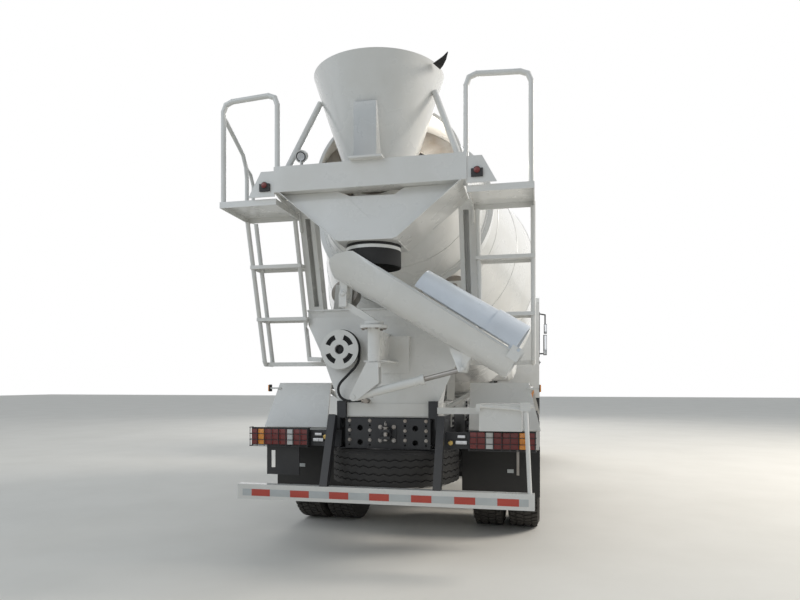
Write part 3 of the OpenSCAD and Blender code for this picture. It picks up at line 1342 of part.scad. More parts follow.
module cab_trim() color(black) {
  both() {
    // Arch lip
    difference() {
      xcyl(body_x - 125, body_x + 5, axle1_y, axle_z, arch_r - 0.3);
      xcyl(body_x - 135, body_x + 20, axle1_y, axle_z, arch_r - 32);
      box(body_x - 145, body_x + 20, axle1_y - 800, axle1_y + 800, axle_z - 800, axle_z + 350);
    }
    // Mirrors on their arms
    box(body_x + 85, body_x + 155, cy(340), cy(240), glass_z0 - 50, glass_z0 + 360);
    box(body_x + 95, body_x + 155, cy(340), cy(240), glass_z0 + 390, glass_z0 + 580);
    difference() {
      union() {
        pipe([[body_x - 60, cy(290), cab_z1 - 122], [body_x + 120, cy(290), cab_z1 - 160],
          [body_x + 120, cy(290), glass_z0 + 540]], 14);
        xcyl(body_x - 60, body_x + 100, cy(290), glass_z0 - 20, 14);
      }
      cab_solid();
    }
  }
  // Sun visor over the windscreen on its brackets
  yz(145 - body_x, body_x - 145) polygon([[cy(268), cab_z1 - 90], [cy(100), cab_z1 - 120],
    [cy(98), cab_z1 - 230], [cy(106), cab_z1 - 230], [cy(108), cab_z1 - 128], [cy(266), cab_z1 - 104]]);
  for (x = [-800, 0, 800]) difference() {
    yz(x - 12, x + 12) polygon([[cy(350), cab_z1 - 90], [cy(240), cab_z1 - 96], [cy(200), cab_z1 - 120],
      [cy(330), cab_z1 - 150]]);
    cab_solid();
  }
  // Wipers on their pivots under the windscreen
  for (x = [-600, 0, 600]) {
    spar([x, cy(60), glass_z0], [x + 420, cy(68), glass_z0 + 60], 12, 12);
    difference() {
      ycyl(x + 8, cy(100), cy(56), glass_z0 - 4, 11);
      cab_solid();
    }
  }
}

frame();
tow_jaw();
tow_eyes();
subframe();
rear_stand();
ladders();
collector();
hopper();
rubber_parts();
front_stand();
water_tank();
drivetrain();
axles();
fuel_tank();
side_boxes();
air_intake();
bumper();
lamps();
rear_guard();
fenders();
spare_tyre();
spare_rim();
hose_reel();
hose_coil();
water_hose();
water_outlet();
chute_post();
knuckle_left();
knuckle_right();
tie_rod();
front_tyre_left();
front_rim_left();
front_tyre_right();
front_rim_right();
mid_tyres_left();
mid_rims_left();
mid_tyres_right();
mid_rims_right();
rear_tyres_left();
rear_rims_left();
rear_tyres_right();
rear_rims_right();
drum_shell();
drum_blades();
roller_left();
roller_right();
chute_arm();
main_chute();
fold_chute();
jack_body();
jack_rod();
cab_shell();
cab_glass();
cab_interior();
cab_trim();
front_flap();
door_left();
door_right();
door_glass_left();
door_glass_right();
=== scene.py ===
"""Looks of the concrete mixer truck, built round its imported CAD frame. Metres, +Y forward, +Z up."""
import json
import math

import bmesh
import bpy
from mathutils import Matrix, Vector


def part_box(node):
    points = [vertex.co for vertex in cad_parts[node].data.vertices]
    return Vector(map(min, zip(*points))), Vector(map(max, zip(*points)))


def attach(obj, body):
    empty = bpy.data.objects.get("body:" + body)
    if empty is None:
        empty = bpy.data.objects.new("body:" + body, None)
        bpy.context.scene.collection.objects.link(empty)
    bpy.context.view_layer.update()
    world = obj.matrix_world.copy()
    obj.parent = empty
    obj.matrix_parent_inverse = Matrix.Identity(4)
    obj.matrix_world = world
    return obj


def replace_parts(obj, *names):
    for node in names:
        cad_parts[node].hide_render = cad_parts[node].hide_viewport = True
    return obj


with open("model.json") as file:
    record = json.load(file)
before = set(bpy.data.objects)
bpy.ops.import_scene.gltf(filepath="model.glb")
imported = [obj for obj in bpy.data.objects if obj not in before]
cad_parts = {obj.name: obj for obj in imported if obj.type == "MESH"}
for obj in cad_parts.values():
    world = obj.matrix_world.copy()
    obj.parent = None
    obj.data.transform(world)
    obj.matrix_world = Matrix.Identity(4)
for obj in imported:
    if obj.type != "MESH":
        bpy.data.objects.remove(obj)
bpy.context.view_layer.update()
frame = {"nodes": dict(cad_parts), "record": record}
nodes = frame["nodes"]

# Places that several pieces share
SIDES = ((-1, "left"), (1, "right"))
UP = (0, 0, 1)
BACK = (0, -1, 0)
GUARD_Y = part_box("rear_guard")[0].y
AXLE_Z = 0.55
AXLE_Y = {"front": 3.025, "mid": -1.0, "rear": -2.35}
DRIVEN_Y = (AXLE_Y["mid"], AXLE_Y["rear"])
SADDLE_Y = -1.675
FRONT_X = 1.011
TWIN_X = 0.915
TWIN_HALF_GAP = 0.17
MOUTH = Vector((0, -3.783, 3.218))
DRUM_TILT = math.radians(15.4)
DRUM_WAY = Vector((0, math.cos(DRUM_TILT), -math.sin(DRUM_TILT)))
DRUM_UP = Vector((0, math.sin(DRUM_TILT), math.cos(DRUM_TILT)))
REEL_X = -0.402
REEL_Z = 1.720
# Foot of the axis that the swing post and the skirt share
POST = Vector((-0.01, GUARD_Y - 0.1, 0))


# Camera at the photograph's place
def make_camera():
    data = bpy.data.cameras.new("camera")
    data.lens = 28.06
    data.sensor_width = 36
    data.shift_y = 0.104
    camera = bpy.data.objects.new("camera", data)
    camera.location = (1.214, -8.822, 1.437)
    camera.rotation_euler = (math.radians(90), 0, 0.217)
    bpy.context.scene.collection.objects.link(camera)
    bpy.context.scene.camera = camera


# Materials
def node_of(tree, kind, **values):
    node = tree.nodes.new(kind)
    for key, value in values.items():
        if key in node.inputs:
            node.inputs[key].default_value = value
        else:
            setattr(node, key, value)
    return node


def join(tree, source, output, target, entry):
    """Link one node's output to another's input."""
    tree.links.new(source.outputs[output], target.inputs[entry])


def shade(name, colour, second=None, roughness=0.4, metallic=0.0, coat=0.0, alpha=1.0, scale=3.0, bump=0.0,
          bump_scale=60.0, rough_spread=0.12, bump_kind="NOISE"):
    """A principled material whose colour and gloss vary with noise in object space."""
    material = bpy.data.materials.new(name)
    material.use_nodes = True
    tree = material.node_tree
    shader = tree.nodes["Principled BSDF"]
    settings = {"Metallic": metallic, "Coat Weight": coat, "Coat Roughness": 0.08, "Alpha": alpha}
    for entry, value in settings.items():
        shader.inputs[entry].default_value = value
    place = node_of(tree, "ShaderNodeTexCoord")
    noise = node_of(tree, "ShaderNodeTexNoise", Scale=scale, Detail=6.0, Roughness=0.6)
    join(tree, place, "Object", noise, "Vector")
    ramp = node_of(tree, "ShaderNodeValToRGB")
    stops = ((0.4, colour), (0.7, second or [c * 0.9 for c in colour]))
    for element, (position, paint) in zip(ramp.color_ramp.elements, stops):
        element.position = position
        element.color = (*paint, 1)
    join(tree, noise, "Fac", ramp, "Fac")
    join(tree, ramp, "Color", shader, "Base Color")
    gloss = node_of(tree, "ShaderNodeMapRange")
    gloss.inputs["To Min"].default_value = max(0.02, roughness - rough_spread)
    gloss.inputs["To Max"].default_value = min(1.0, roughness + rough_spread)
    join(tree, noise, "Fac", gloss, "Value")
    join(tree, gloss, "Result", shader, "Roughness")
    if bump:
        lift = node_of(tree, "ShaderNodeBump", Strength=bump, Distance=0.004)
        if bump_kind == "NOISE":
            grain = node_of(tree, "ShaderNodeTexNoise", Scale=bump_scale, Detail=4.0)
            join(tree, grain, "Fac", lift, "Height")
        else:
            grain = node_of(tree, "ShaderNodeTexVoronoi", Scale=bump_scale)
            join(tree, grain, "Distance", lift, "Height")
        join(tree, place, "Object", grain, "Vector")
        join(tree, lift, "Normal", shader, "Normal")
    return material


def add_dust(material, height, depth, amount):
    """Dust that gathers towards the ground, from height downwards over depth."""
    tree = material.node_tree
    shader = tree.nodes["Principled BSDF"]
    base = shader.inputs["Base Color"].links[0].from_socket
    place = node_of(tree, "ShaderNodeTexCoord")
    split = node_of(tree, "ShaderNodeSeparateXYZ")
    join(tree, place, "Object", split, "Vector")
    fall = node_of(tree, "ShaderNodeMapRange")
    fall.inputs["From Min"].default_value = height
    fall.inputs["From Max"].default_value = height - depth
    fall.inputs["To Max"].default_value = amount
    join(tree, split, "Z", fall, "Value")
    cloud = node_of(tree, "ShaderNodeTexNoise", Scale=5.0, Detail=8.0, Roughness=0.7)
    join(tree, place, "Object", cloud, "Vector")
    share = node_of(tree, "ShaderNodeMath", operation="MULTIPLY")
    join(tree, fall, "Result", share, 0)
    join(tree, cloud, "Fac", share, 1)
    mix = node_of(tree, "ShaderNodeMix", data_type="RGBA")
    join(tree, share, "Value", mix, "Factor")
    tree.links.new(base, mix.inputs[6])
    mix.inputs[7].default_value = (0.42, 0.36, 0.28, 1)
    join(tree, mix, 2, shader, "Base Color")


LENS = {"coat": 0.8, "bump": 0.2, "bump_scale": 160, "bump_kind": "VORONOI"}
TAPE = {"coat": 0.3, "bump": 0.3, "bump_scale": 420, "bump_kind": "VORONOI"}
PANE = {"coat": 0.6, "rough_spread": 0.02}
# Name: first colour, second colour, roughness, other settings
PAINTS = {
    "white_paint": ((0.76, 0.755, 0.73), (0.71, 0.70, 0.665), 0.28, dict(coat=0.5, bump=0.04, bump_scale=90)),
    "chassis_black": ((0.013, 0.0145, 0.018), (0.023, 0.025, 0.029), 0.45, dict(bump=0.12, bump_scale=120)),
    "black_plastic": ((0.02, 0.02, 0.022), (0.035, 0.035, 0.036), 0.55, dict(bump=0.35, bump_scale=700)),
    "rubber": ((0.012, 0.012, 0.013), (0.021, 0.021, 0.021), 0.75, dict(bump=0.2, bump_scale=200)),
    "tyre": ((0.013, 0.013, 0.014), (0.023, 0.022, 0.021), 0.8, dict(bump=0.3, bump_scale=260)),
    "rim_grey": ((0.42, 0.43, 0.45), (0.34, 0.34, 0.35), 0.38, dict(metallic=0.3, bump=0.08)),
    "engine_grey": ((0.14, 0.15, 0.16), (0.2, 0.19, 0.17), 0.6, dict(metallic=0.4, bump=0.3)),
    "tank_aluminium": ((0.62, 0.63, 0.65), (0.52, 0.53, 0.55), 0.34,
                       dict(metallic=0.9, bump=0.1, bump_scale=300)),
    "lamp_red": ((0.19, 0.014, 0.012), (0.14, 0.01, 0.009), 0.3, dict(LENS, coat=0.35, bump=0.25)),
    "bare_steel": ((0.36, 0.35, 0.34), (0.26, 0.22, 0.18), 0.35, dict(metallic=0.9, bump=0.15)),
    # chute_grey's blue tint is painted shade: the sky's blue in the shaded trough
    "chute_grey": ((0.66, 0.71, 0.77), (0.58, 0.62, 0.67), 0.3, dict(metallic=0.1, coat=0.3, bump=0.06)),
    "interior_fabric": ((0.1, 0.1, 0.11), (0.14, 0.14, 0.15), 0.9, dict(bump=0.6, bump_scale=900)),
    "glass": ((0.02, 0.03, 0.032), None, 0.06, dict(PANE, alpha=0.42)),
    "amber": ((0.9, 0.32, 0.02), (0.8, 0.26, 0.01), 0.15, LENS),
    "lamp_white": ((0.66, 0.66, 0.64), (0.56, 0.56, 0.55), 0.1, LENS),
    "tape_red": ((0.5, 0.055, 0.03), (0.42, 0.04, 0.025), 0.3, TAPE),
    "tape_silver": ((0.52, 0.54, 0.53), (0.44, 0.46, 0.46), 0.3, TAPE),
    "brass": ((0.55, 0.4, 0.14), (0.4, 0.28, 0.1), 0.3, dict(metallic=0.9)),
    "clear_lens": ((0.8, 0.82, 0.84), None, 0.06, dict(PANE, alpha=0.22)),
    "mirror": ((0.75, 0.77, 0.8), (0.72, 0.74, 0.77), 0.05, dict(metallic=1.0, rough_spread=0.02)),
}
M = {name: shade(name, *row[:3], **row[3]) for name, row in PAINTS.items()}
# Height where the dust starts, depth to its full strength, and that strength
DUST = {"white_paint": (1.6, 1.4, 0.35), "chassis_black": (1.2, 1.1, 0.12), "rubber": (1.0, 1.0, 0.1),
        "tyre": (1.1, 1.1, 0.14), "rim_grey": (1.0, 1.0, 0.4)}
for dusty, reach in DUST.items():
    add_dust(M[dusty], *reach)


def finish_mesh(mesh, material, smooth):
    """Give a mesh its material, and smooth shading where its faces meet at less than smooth degrees."""
    mesh.materials.append(M[material])
    mesh.polygons.foreach_set("use_smooth", [True] * len(mesh.polygons))
    mesh.set_sharp_from_angle(angle=math.radians(smooth))


def dress_cad():
    """Every CAD node takes its record slot's material and smooth shading away from its sharp edges."""
    slots = {row["node"]: row["material_slot"] for row in frame["record"]["subparts"]}
    for name, piece in nodes.items():
        piece.data.materials.clear()
        finish_mesh(piece.data, slots[name], 31)


# Mesh helpers
def add_piece(name, mesh_data, material, body="chassis", slot="same", smooth=30):
    """A new object from a bmesh, ridden on its body. The slot argument is not used."""
    mesh = bpy.data.meshes.new(name)
    mesh_data.to_mesh(mesh)
    mesh_data.free()
    finish_mesh(mesh, material, smooth)
    piece = bpy.data.objects.new(name, mesh)
    bpy.context.scene.collection.objects.link(piece)
    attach(piece, body)
    if slot == "same":
        slot = material
    return piece


def block(bm, low, high, bevel=0.0, matrix=None):
    """A box with rounded edges."""
    low = Vector(low)
    high = Vector(high)
    verts = bmesh.ops.create_cube(bm, size=1.0)["verts"]
    place = Matrix.Translation((low + high) / 2) @ Matrix.Diagonal((*(high - low), 1))
    bmesh.ops.transform(bm, matrix=place, verts=verts)
    if bevel:
        edges = list({e for v in verts for e in v.link_edges})
        result = bmesh.ops.bevel(bm, geom=edges, offset=bevel, segments=2, profile=0.7, affect="EDGES")
        verts = list({v for f in result["faces"] for v in f.verts} | set(v for v in verts if v.is_valid))
    if matrix:
        bmesh.ops.transform(bm, matrix=matrix, verts=[v for v in verts if v.is_valid])


def side_block(bm, side, low, high, bevel=0.0):
    """A block on the left or the right, with its corners given for the right."""
    x0, x1 = sorted((side * low[0], side * high[0]))
    block(bm, (x0, *low[1:]), (x1, *high[1:]), bevel)


def both_sides(bm, low, high, bevel):
    for side in (-1, 1):
        side_block(bm, side, low, high, bevel)


def aim(point, direction):
    """A matrix whose z axis points along direction, at point."""
    return Matrix.Translation(point) @ Vector(direction).to_track_quat("Z", "Y").to_matrix().to_4x4()


def circle(radius, steps):
    """Points of a circle about the origin."""
    angles = [math.tau * i / steps for i in range(steps)]
    return [(radius * math.cos(angle), radius * math.sin(angle)) for angle in angles]


def revolve(bm, profile, matrix, steps=32):
    """A surface of revolution about matrix's z axis, closed where the profile starts and ends at radius 0."""
    rings = []
    for radius, height in profile:
        points = circle(radius, steps) if radius >= 1e-6 else [(0, 0)]
        rings.append([bm.verts.new(matrix @ Vector((x, y, height))) for x, y in points])
    for a, b in zip(rings, rings[1:]):
        for i in range(steps):
            j = (i + 1) % steps
            if len(a) == 1 and len(b) == 1:
                continue
            if len(a) == 1:
                bm.faces.new((a[0], b[j], b[i]))
            elif len(b) == 1:
                bm.faces.new((a[i], a[j], b[0]))
            else:
                bm.faces.new((a[i], a[j], b[j], b[i]))


def hexagon(bm, point, direction, across=0.024, height=0.014, washer=True):
    """A bolt head on its washer."""
    matrix = aim(point, direction)
    if washer:
        rim = across * 0.75
        revolve(bm, [(0, 0.0), (rim, 0.0), (rim, 0.003), (0, 0.003)], matrix, 12)
    radius = across / 2 / math.cos(math.pi / 6)
    revolve(bm, [(0, 0.002), (radius, 0.002), (radius, height * 0.85), (radius * 0.86, height), (0, height)],
            matrix, 6)


def bolt_grid(bm, xs, ys, zs, direction, across, height):
    for x in xs:
        for y in ys:
            for z in zs:
                hexagon(bm, (x, y, z), direction, across, height)


def tube(bm, points, radius, sides=10, closed=False):
    """A round tube swept through the points, with flat ends."""
    points = [Vector(p) for p in points]
    count = len(points)
    side = None
    rings = []
    for i, point in enumerate(points):
        if closed:
            way = points[(i + 1) % count] - points[i - 1]
        else:
            way = points[min(i + 1, count - 1)] - points[max(i - 1, 0)]
        way.normalize()
        if side is None:
            side = way.orthogonal().normalized()
        side = (side - way * side.dot(way)).normalized()
        up = way.cross(side)
        rings.append([bm.verts.new(point + a * side + b * up) for a, b in circle(radius, sides)])
    pairs = list(zip(rings, rings[1:])) + ([(rings[-1], rings[0])] if closed else [])
    for a, b in pairs:
        for k in range(sides):
            bm.faces.new((a[k], a[(k + 1) % sides], b[(k + 1) % sides], b[k]))
    if not closed:
        bm.faces.new(list(reversed(rings[0])))
        bm.faces.new(rings[-1])


def smooth_route(points, steps):
    """Points on a Catmull-Rom curve through the given ones."""
    points = [Vector(p) for p in points]
    last = len(points) - 1
    out = []
    for k in range(steps + 1):
        t = last * k / steps
        i = min(int(t), last - 1)
        f = t - i
        p, q, r, w = points[max(0, i - 1)], points[i], points[i + 1], points[min(last, i + 2)]
        out.append(0.5 * (2 * q + (r - p) * f + (2 * p - 5 * q + 4 * r - w) * f * f
                          + (3 * q - p - 3 * r + w) * f ** 3))
    return out


def on_drum(s, radius, angle):
    """A point at distance s along the drum's axis, radius out, angle from straight up."""
    return MOUTH + DRUM_WAY * s + (DRUM_UP * math.cos(angle) + Vector((1, 0, 0)) * math.sin(angle)) * radius


# Hose on the reel: the route repeats the CAD part's own points, in metres
HOSE_ROUTE = [(-0.242, 0.303, 1.720), (-0.242, 0.301, 1.693), (-0.242, 0.299, 1.665), (-0.246, 0.296, 1.629),
              (-0.260, 0.292, 1.595), (-0.280, 0.287, 1.565), (-0.315, 0.277, 1.526), (-0.351, 0.267, 1.487),
              (-0.386, 0.257, 1.449), (-0.404, 0.251, 1.417), (-0.410, 0.247, 1.385), (-0.404, 0.244, 1.352),
              (-0.388, 0.243, 1.324), (-0.362, 0.242, 1.303), (-0.331, 0.242, 1.291), (-0.300, 0.242, 1.290),
              (-0.250, 0.242, 1.290), (-0.205, 0.242, 1.290)]
HOSE_RADIUS = 0.011


def make_hose():
    route = smooth_route([(x, GUARD_Y + v, z) for x, v, z in HOSE_ROUTE], 34)
    bm = bmesh.new()
    tube(bm, route, HOSE_RADIUS, 12)
    hose = add_piece("hanging_hose", bm, "rubber", smooth=50)
    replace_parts(hose, "water_hose")


# Half of a tyre's section from the bead to the middle of its tread: radius, place across
HALF_TYRE = [(0.262, -0.100), (0.288, -0.104), (0.302, -0.136), (0.33, -0.1445), (0.37, -0.1495),
             (0.42, -0.1495), (0.47, -0.1480), (0.505, -0.142), (0.522, -0.135), (0.534, -0.122)]
TYRE_PROFILE = HALF_TYRE + [(0.537, 0.0)] + [(radius, -x) for radius, x in HALF_TYRE[::-1]] + HALF_TYRE[:1]
TREAD_FOOT = 0.532
TREAD_BLOCKS = 54
HALF_BLOCK = 0.36
# Lateral start, lateral end, share of a pitch that the row is turned by, slant
TREAD_ROWS = [(-0.128, -0.079, 0.0, 0.35), (-0.068, -0.008, 0.5, 0.25), (0.008, 0.068, 0.0, -0.25),
              (0.079, 0.128, 0.5, -0.35)]
RIB_EDGES = [-0.130, -0.084, -0.030, 0.030, 0.084, 0.130]
RIB_WAVES = 40
WAVE_HEIGHT = 0.0075
HALF_GROOVE = 0.005
SHOULDER_STEP = 0.006


def on_tyre(bm, matrix, radius, angle, across):
    return bm.verts.new(matrix @ Vector((radius * math.cos(angle), radius * math.sin(angle), across)))


def block_tyre(bm, matrix):
    """A tyre with four rows of slanted blocks."""
    revolve(bm, TYRE_PROFILE, matrix, 64)
    pitch = math.tau / TREAD_BLOCKS
    for low, high, turn, slant in TREAD_ROWS:
        for i in range(TREAD_BLOCKS):
            corners = []
            for radius in (TREAD_FOOT, 0.5495):
                for across, along in ((low, -HALF_BLOCK), (high, -HALF_BLOCK), (high, HALF_BLOCK),
                                      (low, HALF_BLOCK)):
                    lean = slant * (across - low) / (high - low)
                    corners.append(on_tyre(bm, matrix, radius, pitch * (i + turn + along + lean), across))
            a, b, c, d, e, f, g, h = corners
            for face in ((e, f, g, h), (a, b, f, e), (b, c, g, f), (c, d, h, g), (d, a, e, h)):
                bm.faces.new(face)
    sidewall_rings(bm, matrix)


def rib_tyre(bm, matrix):
    """A tyre whose five ribs are parted by wavy grooves."""
    revolve(bm, TYRE_PROFILE, matrix, 80)
    steps = 4 * RIB_WAVES
    last = len(RIB_EDGES) - 1
    for i in range(last):
        rings = []
        for k in range(steps):
            wave = (0, 1, 0, -1)[k % 4] * WAVE_HEIGHT
            notch = SHOULDER_STEP * (k % 4 > 1)
            low = RIB_EDGES[i] + (HALF_GROOVE + wave if i > 0 else notch)
            high = RIB_EDGES[i + 1] - (HALF_GROOVE - wave if i < last - 1 else notch)
            corners = ((TREAD_FOOT, low - 0.002), (0.549, low), (0.549, high), (TREAD_FOOT, high + 0.002))
            angle = math.tau * k / steps
            rings.append([on_tyre(bm, matrix, radius, angle, across) for radius, across in corners])
        for k in range(steps):
            a = rings[k]
            b = rings[(k + 1) % steps]
            for j in range(3):
                bm.faces.new((a[j], b[j], b[j + 1], a[j + 1]))
    sidewall_rings(bm, matrix)


def sidewall_rings(bm, matrix):
    for side in (-1, 1):
        for radius in (0.345, 0.44, 0.495):
            ring = [(radius, side * 0.1465), (radius + 0.004, side * 0.1498), (radius + 0.008, side * 0.1465)]
            revolve(bm, ring, matrix, 64)


def wheel_matrix(x, y, side):
    return aim((x, y, AXLE_Z), (side, 0, 0))


def make_tyres():
    for side, word in SIDES:
        bm = bmesh.new()
        rib_tyre(bm, wheel_matrix(side * FRONT_X, AXLE_Y["front"], side))
        piece = add_piece(f"tread_front_{word}", bm, "tyre", f"front_wheel_{word}", smooth=35)
        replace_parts(piece, f"front_tyre_{word}")
        for axle in ("mid", "rear"):
            bm = bmesh.new()
            for gap in (-TWIN_HALF_GAP, TWIN_HALF_GAP):
                block_tyre(bm, wheel_matrix(side * TWIN_X + gap, AXLE_Y[axle], side))
            piece = add_piece(f"tread_{axle}_{word}", bm, "tyre", f"{axle}_wheels_{word}", smooth=35)
            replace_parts(piece, f"{axle}_tyres_{word}")
    low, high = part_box("spare_tyre")
    bm = bmesh.new()
    rib_tyre(bm, Matrix.Translation((low + high) / 2))
    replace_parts(add_piece("tread_spare", bm, "tyre", smooth=35), "spare_tyre")


def make_wheel_nuts():
    """Ten nuts with their studs on each hub face."""
    stud = [(0, 0.02), (0.011, 0.02), (0.011, 0.036), (0, 0.036)]
    for axle, face_x in (("front", FRONT_X + 0.116), ("mid", TWIN_X + 0.016), ("rear", TWIN_X + 0.016)):
        for side, word in SIDES:
            body = f"front_wheel_{word}" if axle == "front" else f"{axle}_wheels_{word}"
            bm = bmesh.new()
            for y, z in circle(0.143, 10):
                point = (side * face_x, AXLE_Y[axle] + y, AXLE_Z + z)
                hexagon(bm, point, (side, 0, 0), 0.034, 0.024)
                revolve(bm, stud, aim(point, (side, 0, 0)), 10)
            add_piece(f"nuts_{axle}_{word}", bm, "bare_steel", body)


# Rear guard's tape
TAPE_RED_CENTRES = [-0.99, -0.655, -0.325, 0.005, 0.34, 0.675, 1.0]
TAPE_LOW = 0.5175
TAPE_HIGH = 0.5725


def make_guard_tape():
    y = GUARD_Y - 0.0015
    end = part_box("rear_guard")[0].x + 0.045
    bm = bmesh.new()
    block(bm, (end, y, TAPE_LOW), (-end, GUARD_Y + 0.002, TAPE_HIGH), 0.0006)
    add_piece("tape_silver_strip", bm, "tape_silver", slot=None)
    bm = bmesh.new()
    for x in TAPE_RED_CENTRES:
        block(bm, (x - 0.08, y - 0.001, TAPE_LOW), (x + 0.08, y + 0.001, TAPE_HIGH), 0.0005)
    add_piece("tape_red_blocks", bm, "tape_red", slot=None)


# Lamps
# Share of the cluster's width from the inner end, and the lens material
TAIL_SEGMENTS = [(0.0, 0.24, "lamp_red"), (0.25, 0.36, "lamp_white"), (0.37, 0.50, "lamp_red"),
                 (0.51, 0.76, "lamp_red"), (0.77, 0.88, "amber"), (0.89, 1.0, "lamp_red")]


def make_tail_lamps():
    inner, outer = 0.680, 1.200
    y0, y1 = GUARD_Y + 0.250, GUARD_Y + 0.312
    z0, z1 = 0.905, 1.055
    wire_y = y0 - 0.012
    for side, word in SIDES:
        bm = bmesh.new()
        side_block(bm, side, (inner, y0 + 0.018, z0), (outer, y1, z1), 0.006)
        add_piece(f"tail_housing_{word}", bm, "black_plastic")
        lenses = {}
        for a, b, material in TAIL_SEGMENTS:
            bm = lenses.setdefault(material, bmesh.new())
            x0, x1 = sorted(side * (inner + 0.008 + (outer - inner - 0.016) * share) for share in (a, b))
            block(bm, (x0, y0 + 0.004, z0 + 0.01), (x1, y0 + 0.02, z1 - 0.01), 0.004)
            for k in (1, 2, 3):
                z = z0 + 0.01 + (z1 - z0 - 0.02) * k / 4
                block(bm, (x0 + 0.004, y0 + 0.0025, z - 0.002), (x1 - 0.004, y0 + 0.006, z + 0.002))
        for material, bm in lenses.items():
            slot = "lamp_red" if material == "lamp_red" else None
            add_piece(f"tail_{material}_{word}", bm, material, slot=slot)
        # Wire guard in front of the lenses
        bm = bmesh.new()
        in_x = side * (inner - 0.005)
        out_x = side * (outer + 0.005)
        for z in (z0 - 0.004, z0 + 0.05, z1 - 0.05, z1 + 0.004):
            tube(bm, [(in_x, y1, z), (in_x, wire_y, z), (out_x, wire_y, z), (out_x, y1, z)], 0.003, 6)
        for k in range(9):
            x = side * (inner + (outer - inner) * k / 8)
            tube(bm, [(x, wire_y, z0 - 0.004), (x, wire_y, z1 + 0.004)], 0.003, 6)
        add_piece(f"tail_guard_{word}", bm, "chassis_black")


def make_marker_lamps():
    lens = bmesh.new()
    base = bmesh.new()
    y = GUARD_Y + 0.73
    both_sides(lens, (1.2285, y - 0.028, 1.362), (1.2445, y + 0.028, 1.423), 0.005)
    both_sides(base, (1.228, y - 0.03, 1.36), (1.234, y + 0.03, 1.425), 0.002)
    add_piece("marker_lenses", lens, "amber", slot=None)
    add_piece("marker_bases", base, "black_plastic")
    lens = bmesh.new()
    case = bmesh.new()
    y = GUARD_Y - 0.332
    for x in (-0.8, 0.8):
        matrix = aim((x, y, 2.93), BACK)
        block(case, (x - 0.042, y - 0.016, 2.886), (x + 0.042, y, 2.944), 0.004)
        revolve(case, [(0, 0), (0.027, 0), (0.027, 0.017), (0.024, 0.02), (0, 0.02)], matrix, 24)
        revolve(lens, [(0.022, 0.0195), (0.021, 0.024), (0.014, 0.028), (0, 0.030)], matrix, 24)
    add_piece("platform_lamp_cases", case, "black_plastic")
    add_piece("platform_lamp_lenses", lens, "lamp_red")


def make_work_lamp():
    """Seal, bowl and glass of the lamp on the beam's left."""
    matrix = aim((-0.5378, GUARD_Y - 0.2665, 3.1562), (0.011, -0.066, -0.030))
    for name, material, slot, profile in (
            ("seal", "rubber", "rubber", [(0.030, 0.001), (0.030, 0.006), (0.036, 0.007), (0.036, 0.001)]),
            ("bowl", "tank_aluminium", "tank_aluminium",
             [(0, 0.0008), (0.012, 0.0016), (0.024, 0.004), (0.0295, 0.0055)]),
            ("glass", "clear_lens", "glass", [(0, 0.0085), (0.016, 0.008), (0.0295, 0.006)])):
        bm = bmesh.new()
        revolve(bm, profile, matrix, 32)
        add_piece(f"work_lamp_{name}", bm, material, slot=slot)


# Front lamps in the bumper
HEAD_LAMP_BOWL = [(0.0, 0.0), (0.012, 0.001), (0.03, 0.012), (0.037, 0.036), (0.0375, 0.05), (0.034, 0.05),
                  (0.034, 0.037), (0.027, 0.014), (0.0, 0.004)]


def make_head_lamps():
    case = bmesh.new()
    bowl = bmesh.new()
    cover = bmesh.new()
    turn = bmesh.new()
    both_sides(case, (1.0005, 4.4405, 0.7505), (1.1695, 4.46, 0.9195), 0.004)
    for x in (-1.062, 1.062):
        for z in (0.793, 0.877):
            revolve(bowl, HEAD_LAMP_BOWL, aim((x, 4.46, z), (0, 1, 0)), 24)
    both_sides(turn, (1.118, 4.462, 0.762), (1.162, 4.5, 0.908), 0.006)
    both_sides(cover, (1.0025, 4.508, 0.7525), (1.1675, 4.512, 0.9175), 0.001)
    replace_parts(add_piece("head_lamp_cases", case, "black_plastic"), "lamps")
    add_piece("head_lamp_bowls", bowl, "mirror", slot=None)
    add_piece("head_lamp_turn_signals", turn, "amber", slot=None)
    add_piece("head_lamp_covers", cover, "clear_lens", slot="glass")


# Cab: seats, dashboard, bunk
SEAT_X = 0.72


def pillow(name, low, high, bulge, cuts=10, matrix=None, edge=0.03):
    """A stuffed piece: a rounded box whose faces swell in the middle."""
    half = (Vector(high) - Vector(low)) / 2
    middle = (Vector(low) + Vector(high)) / 2
    bm = bmesh.new()
    bmesh.ops.create_cube(bm, size=2.0)
    bmesh.ops.subdivide_edges(bm, edges=list(bm.edges), cuts=cuts, use_grid_fill=True)
    for vert in bm.verts:
        p = vert.co.copy()
        swell = [1 - bulge * (p[(i + 1) % 3] ** 2 + p[(i + 2) % 3] ** 2) / 2 for i in range(3)]
        q = Vector([p[i] * half[i] * swell[i] for i in range(3)])
        inner = Vector([max(edge - half[i], min(half[i] - edge, q[i])) for i in range(3)])
        away = q - inner
        if away.length > edge:
            q = inner + away.normalized() * edge
        vert.co = middle + q
        if matrix:
            vert.co = matrix @ vert.co
    piece = add_piece(name, bm, "interior_fabric", "cab", smooth=60)


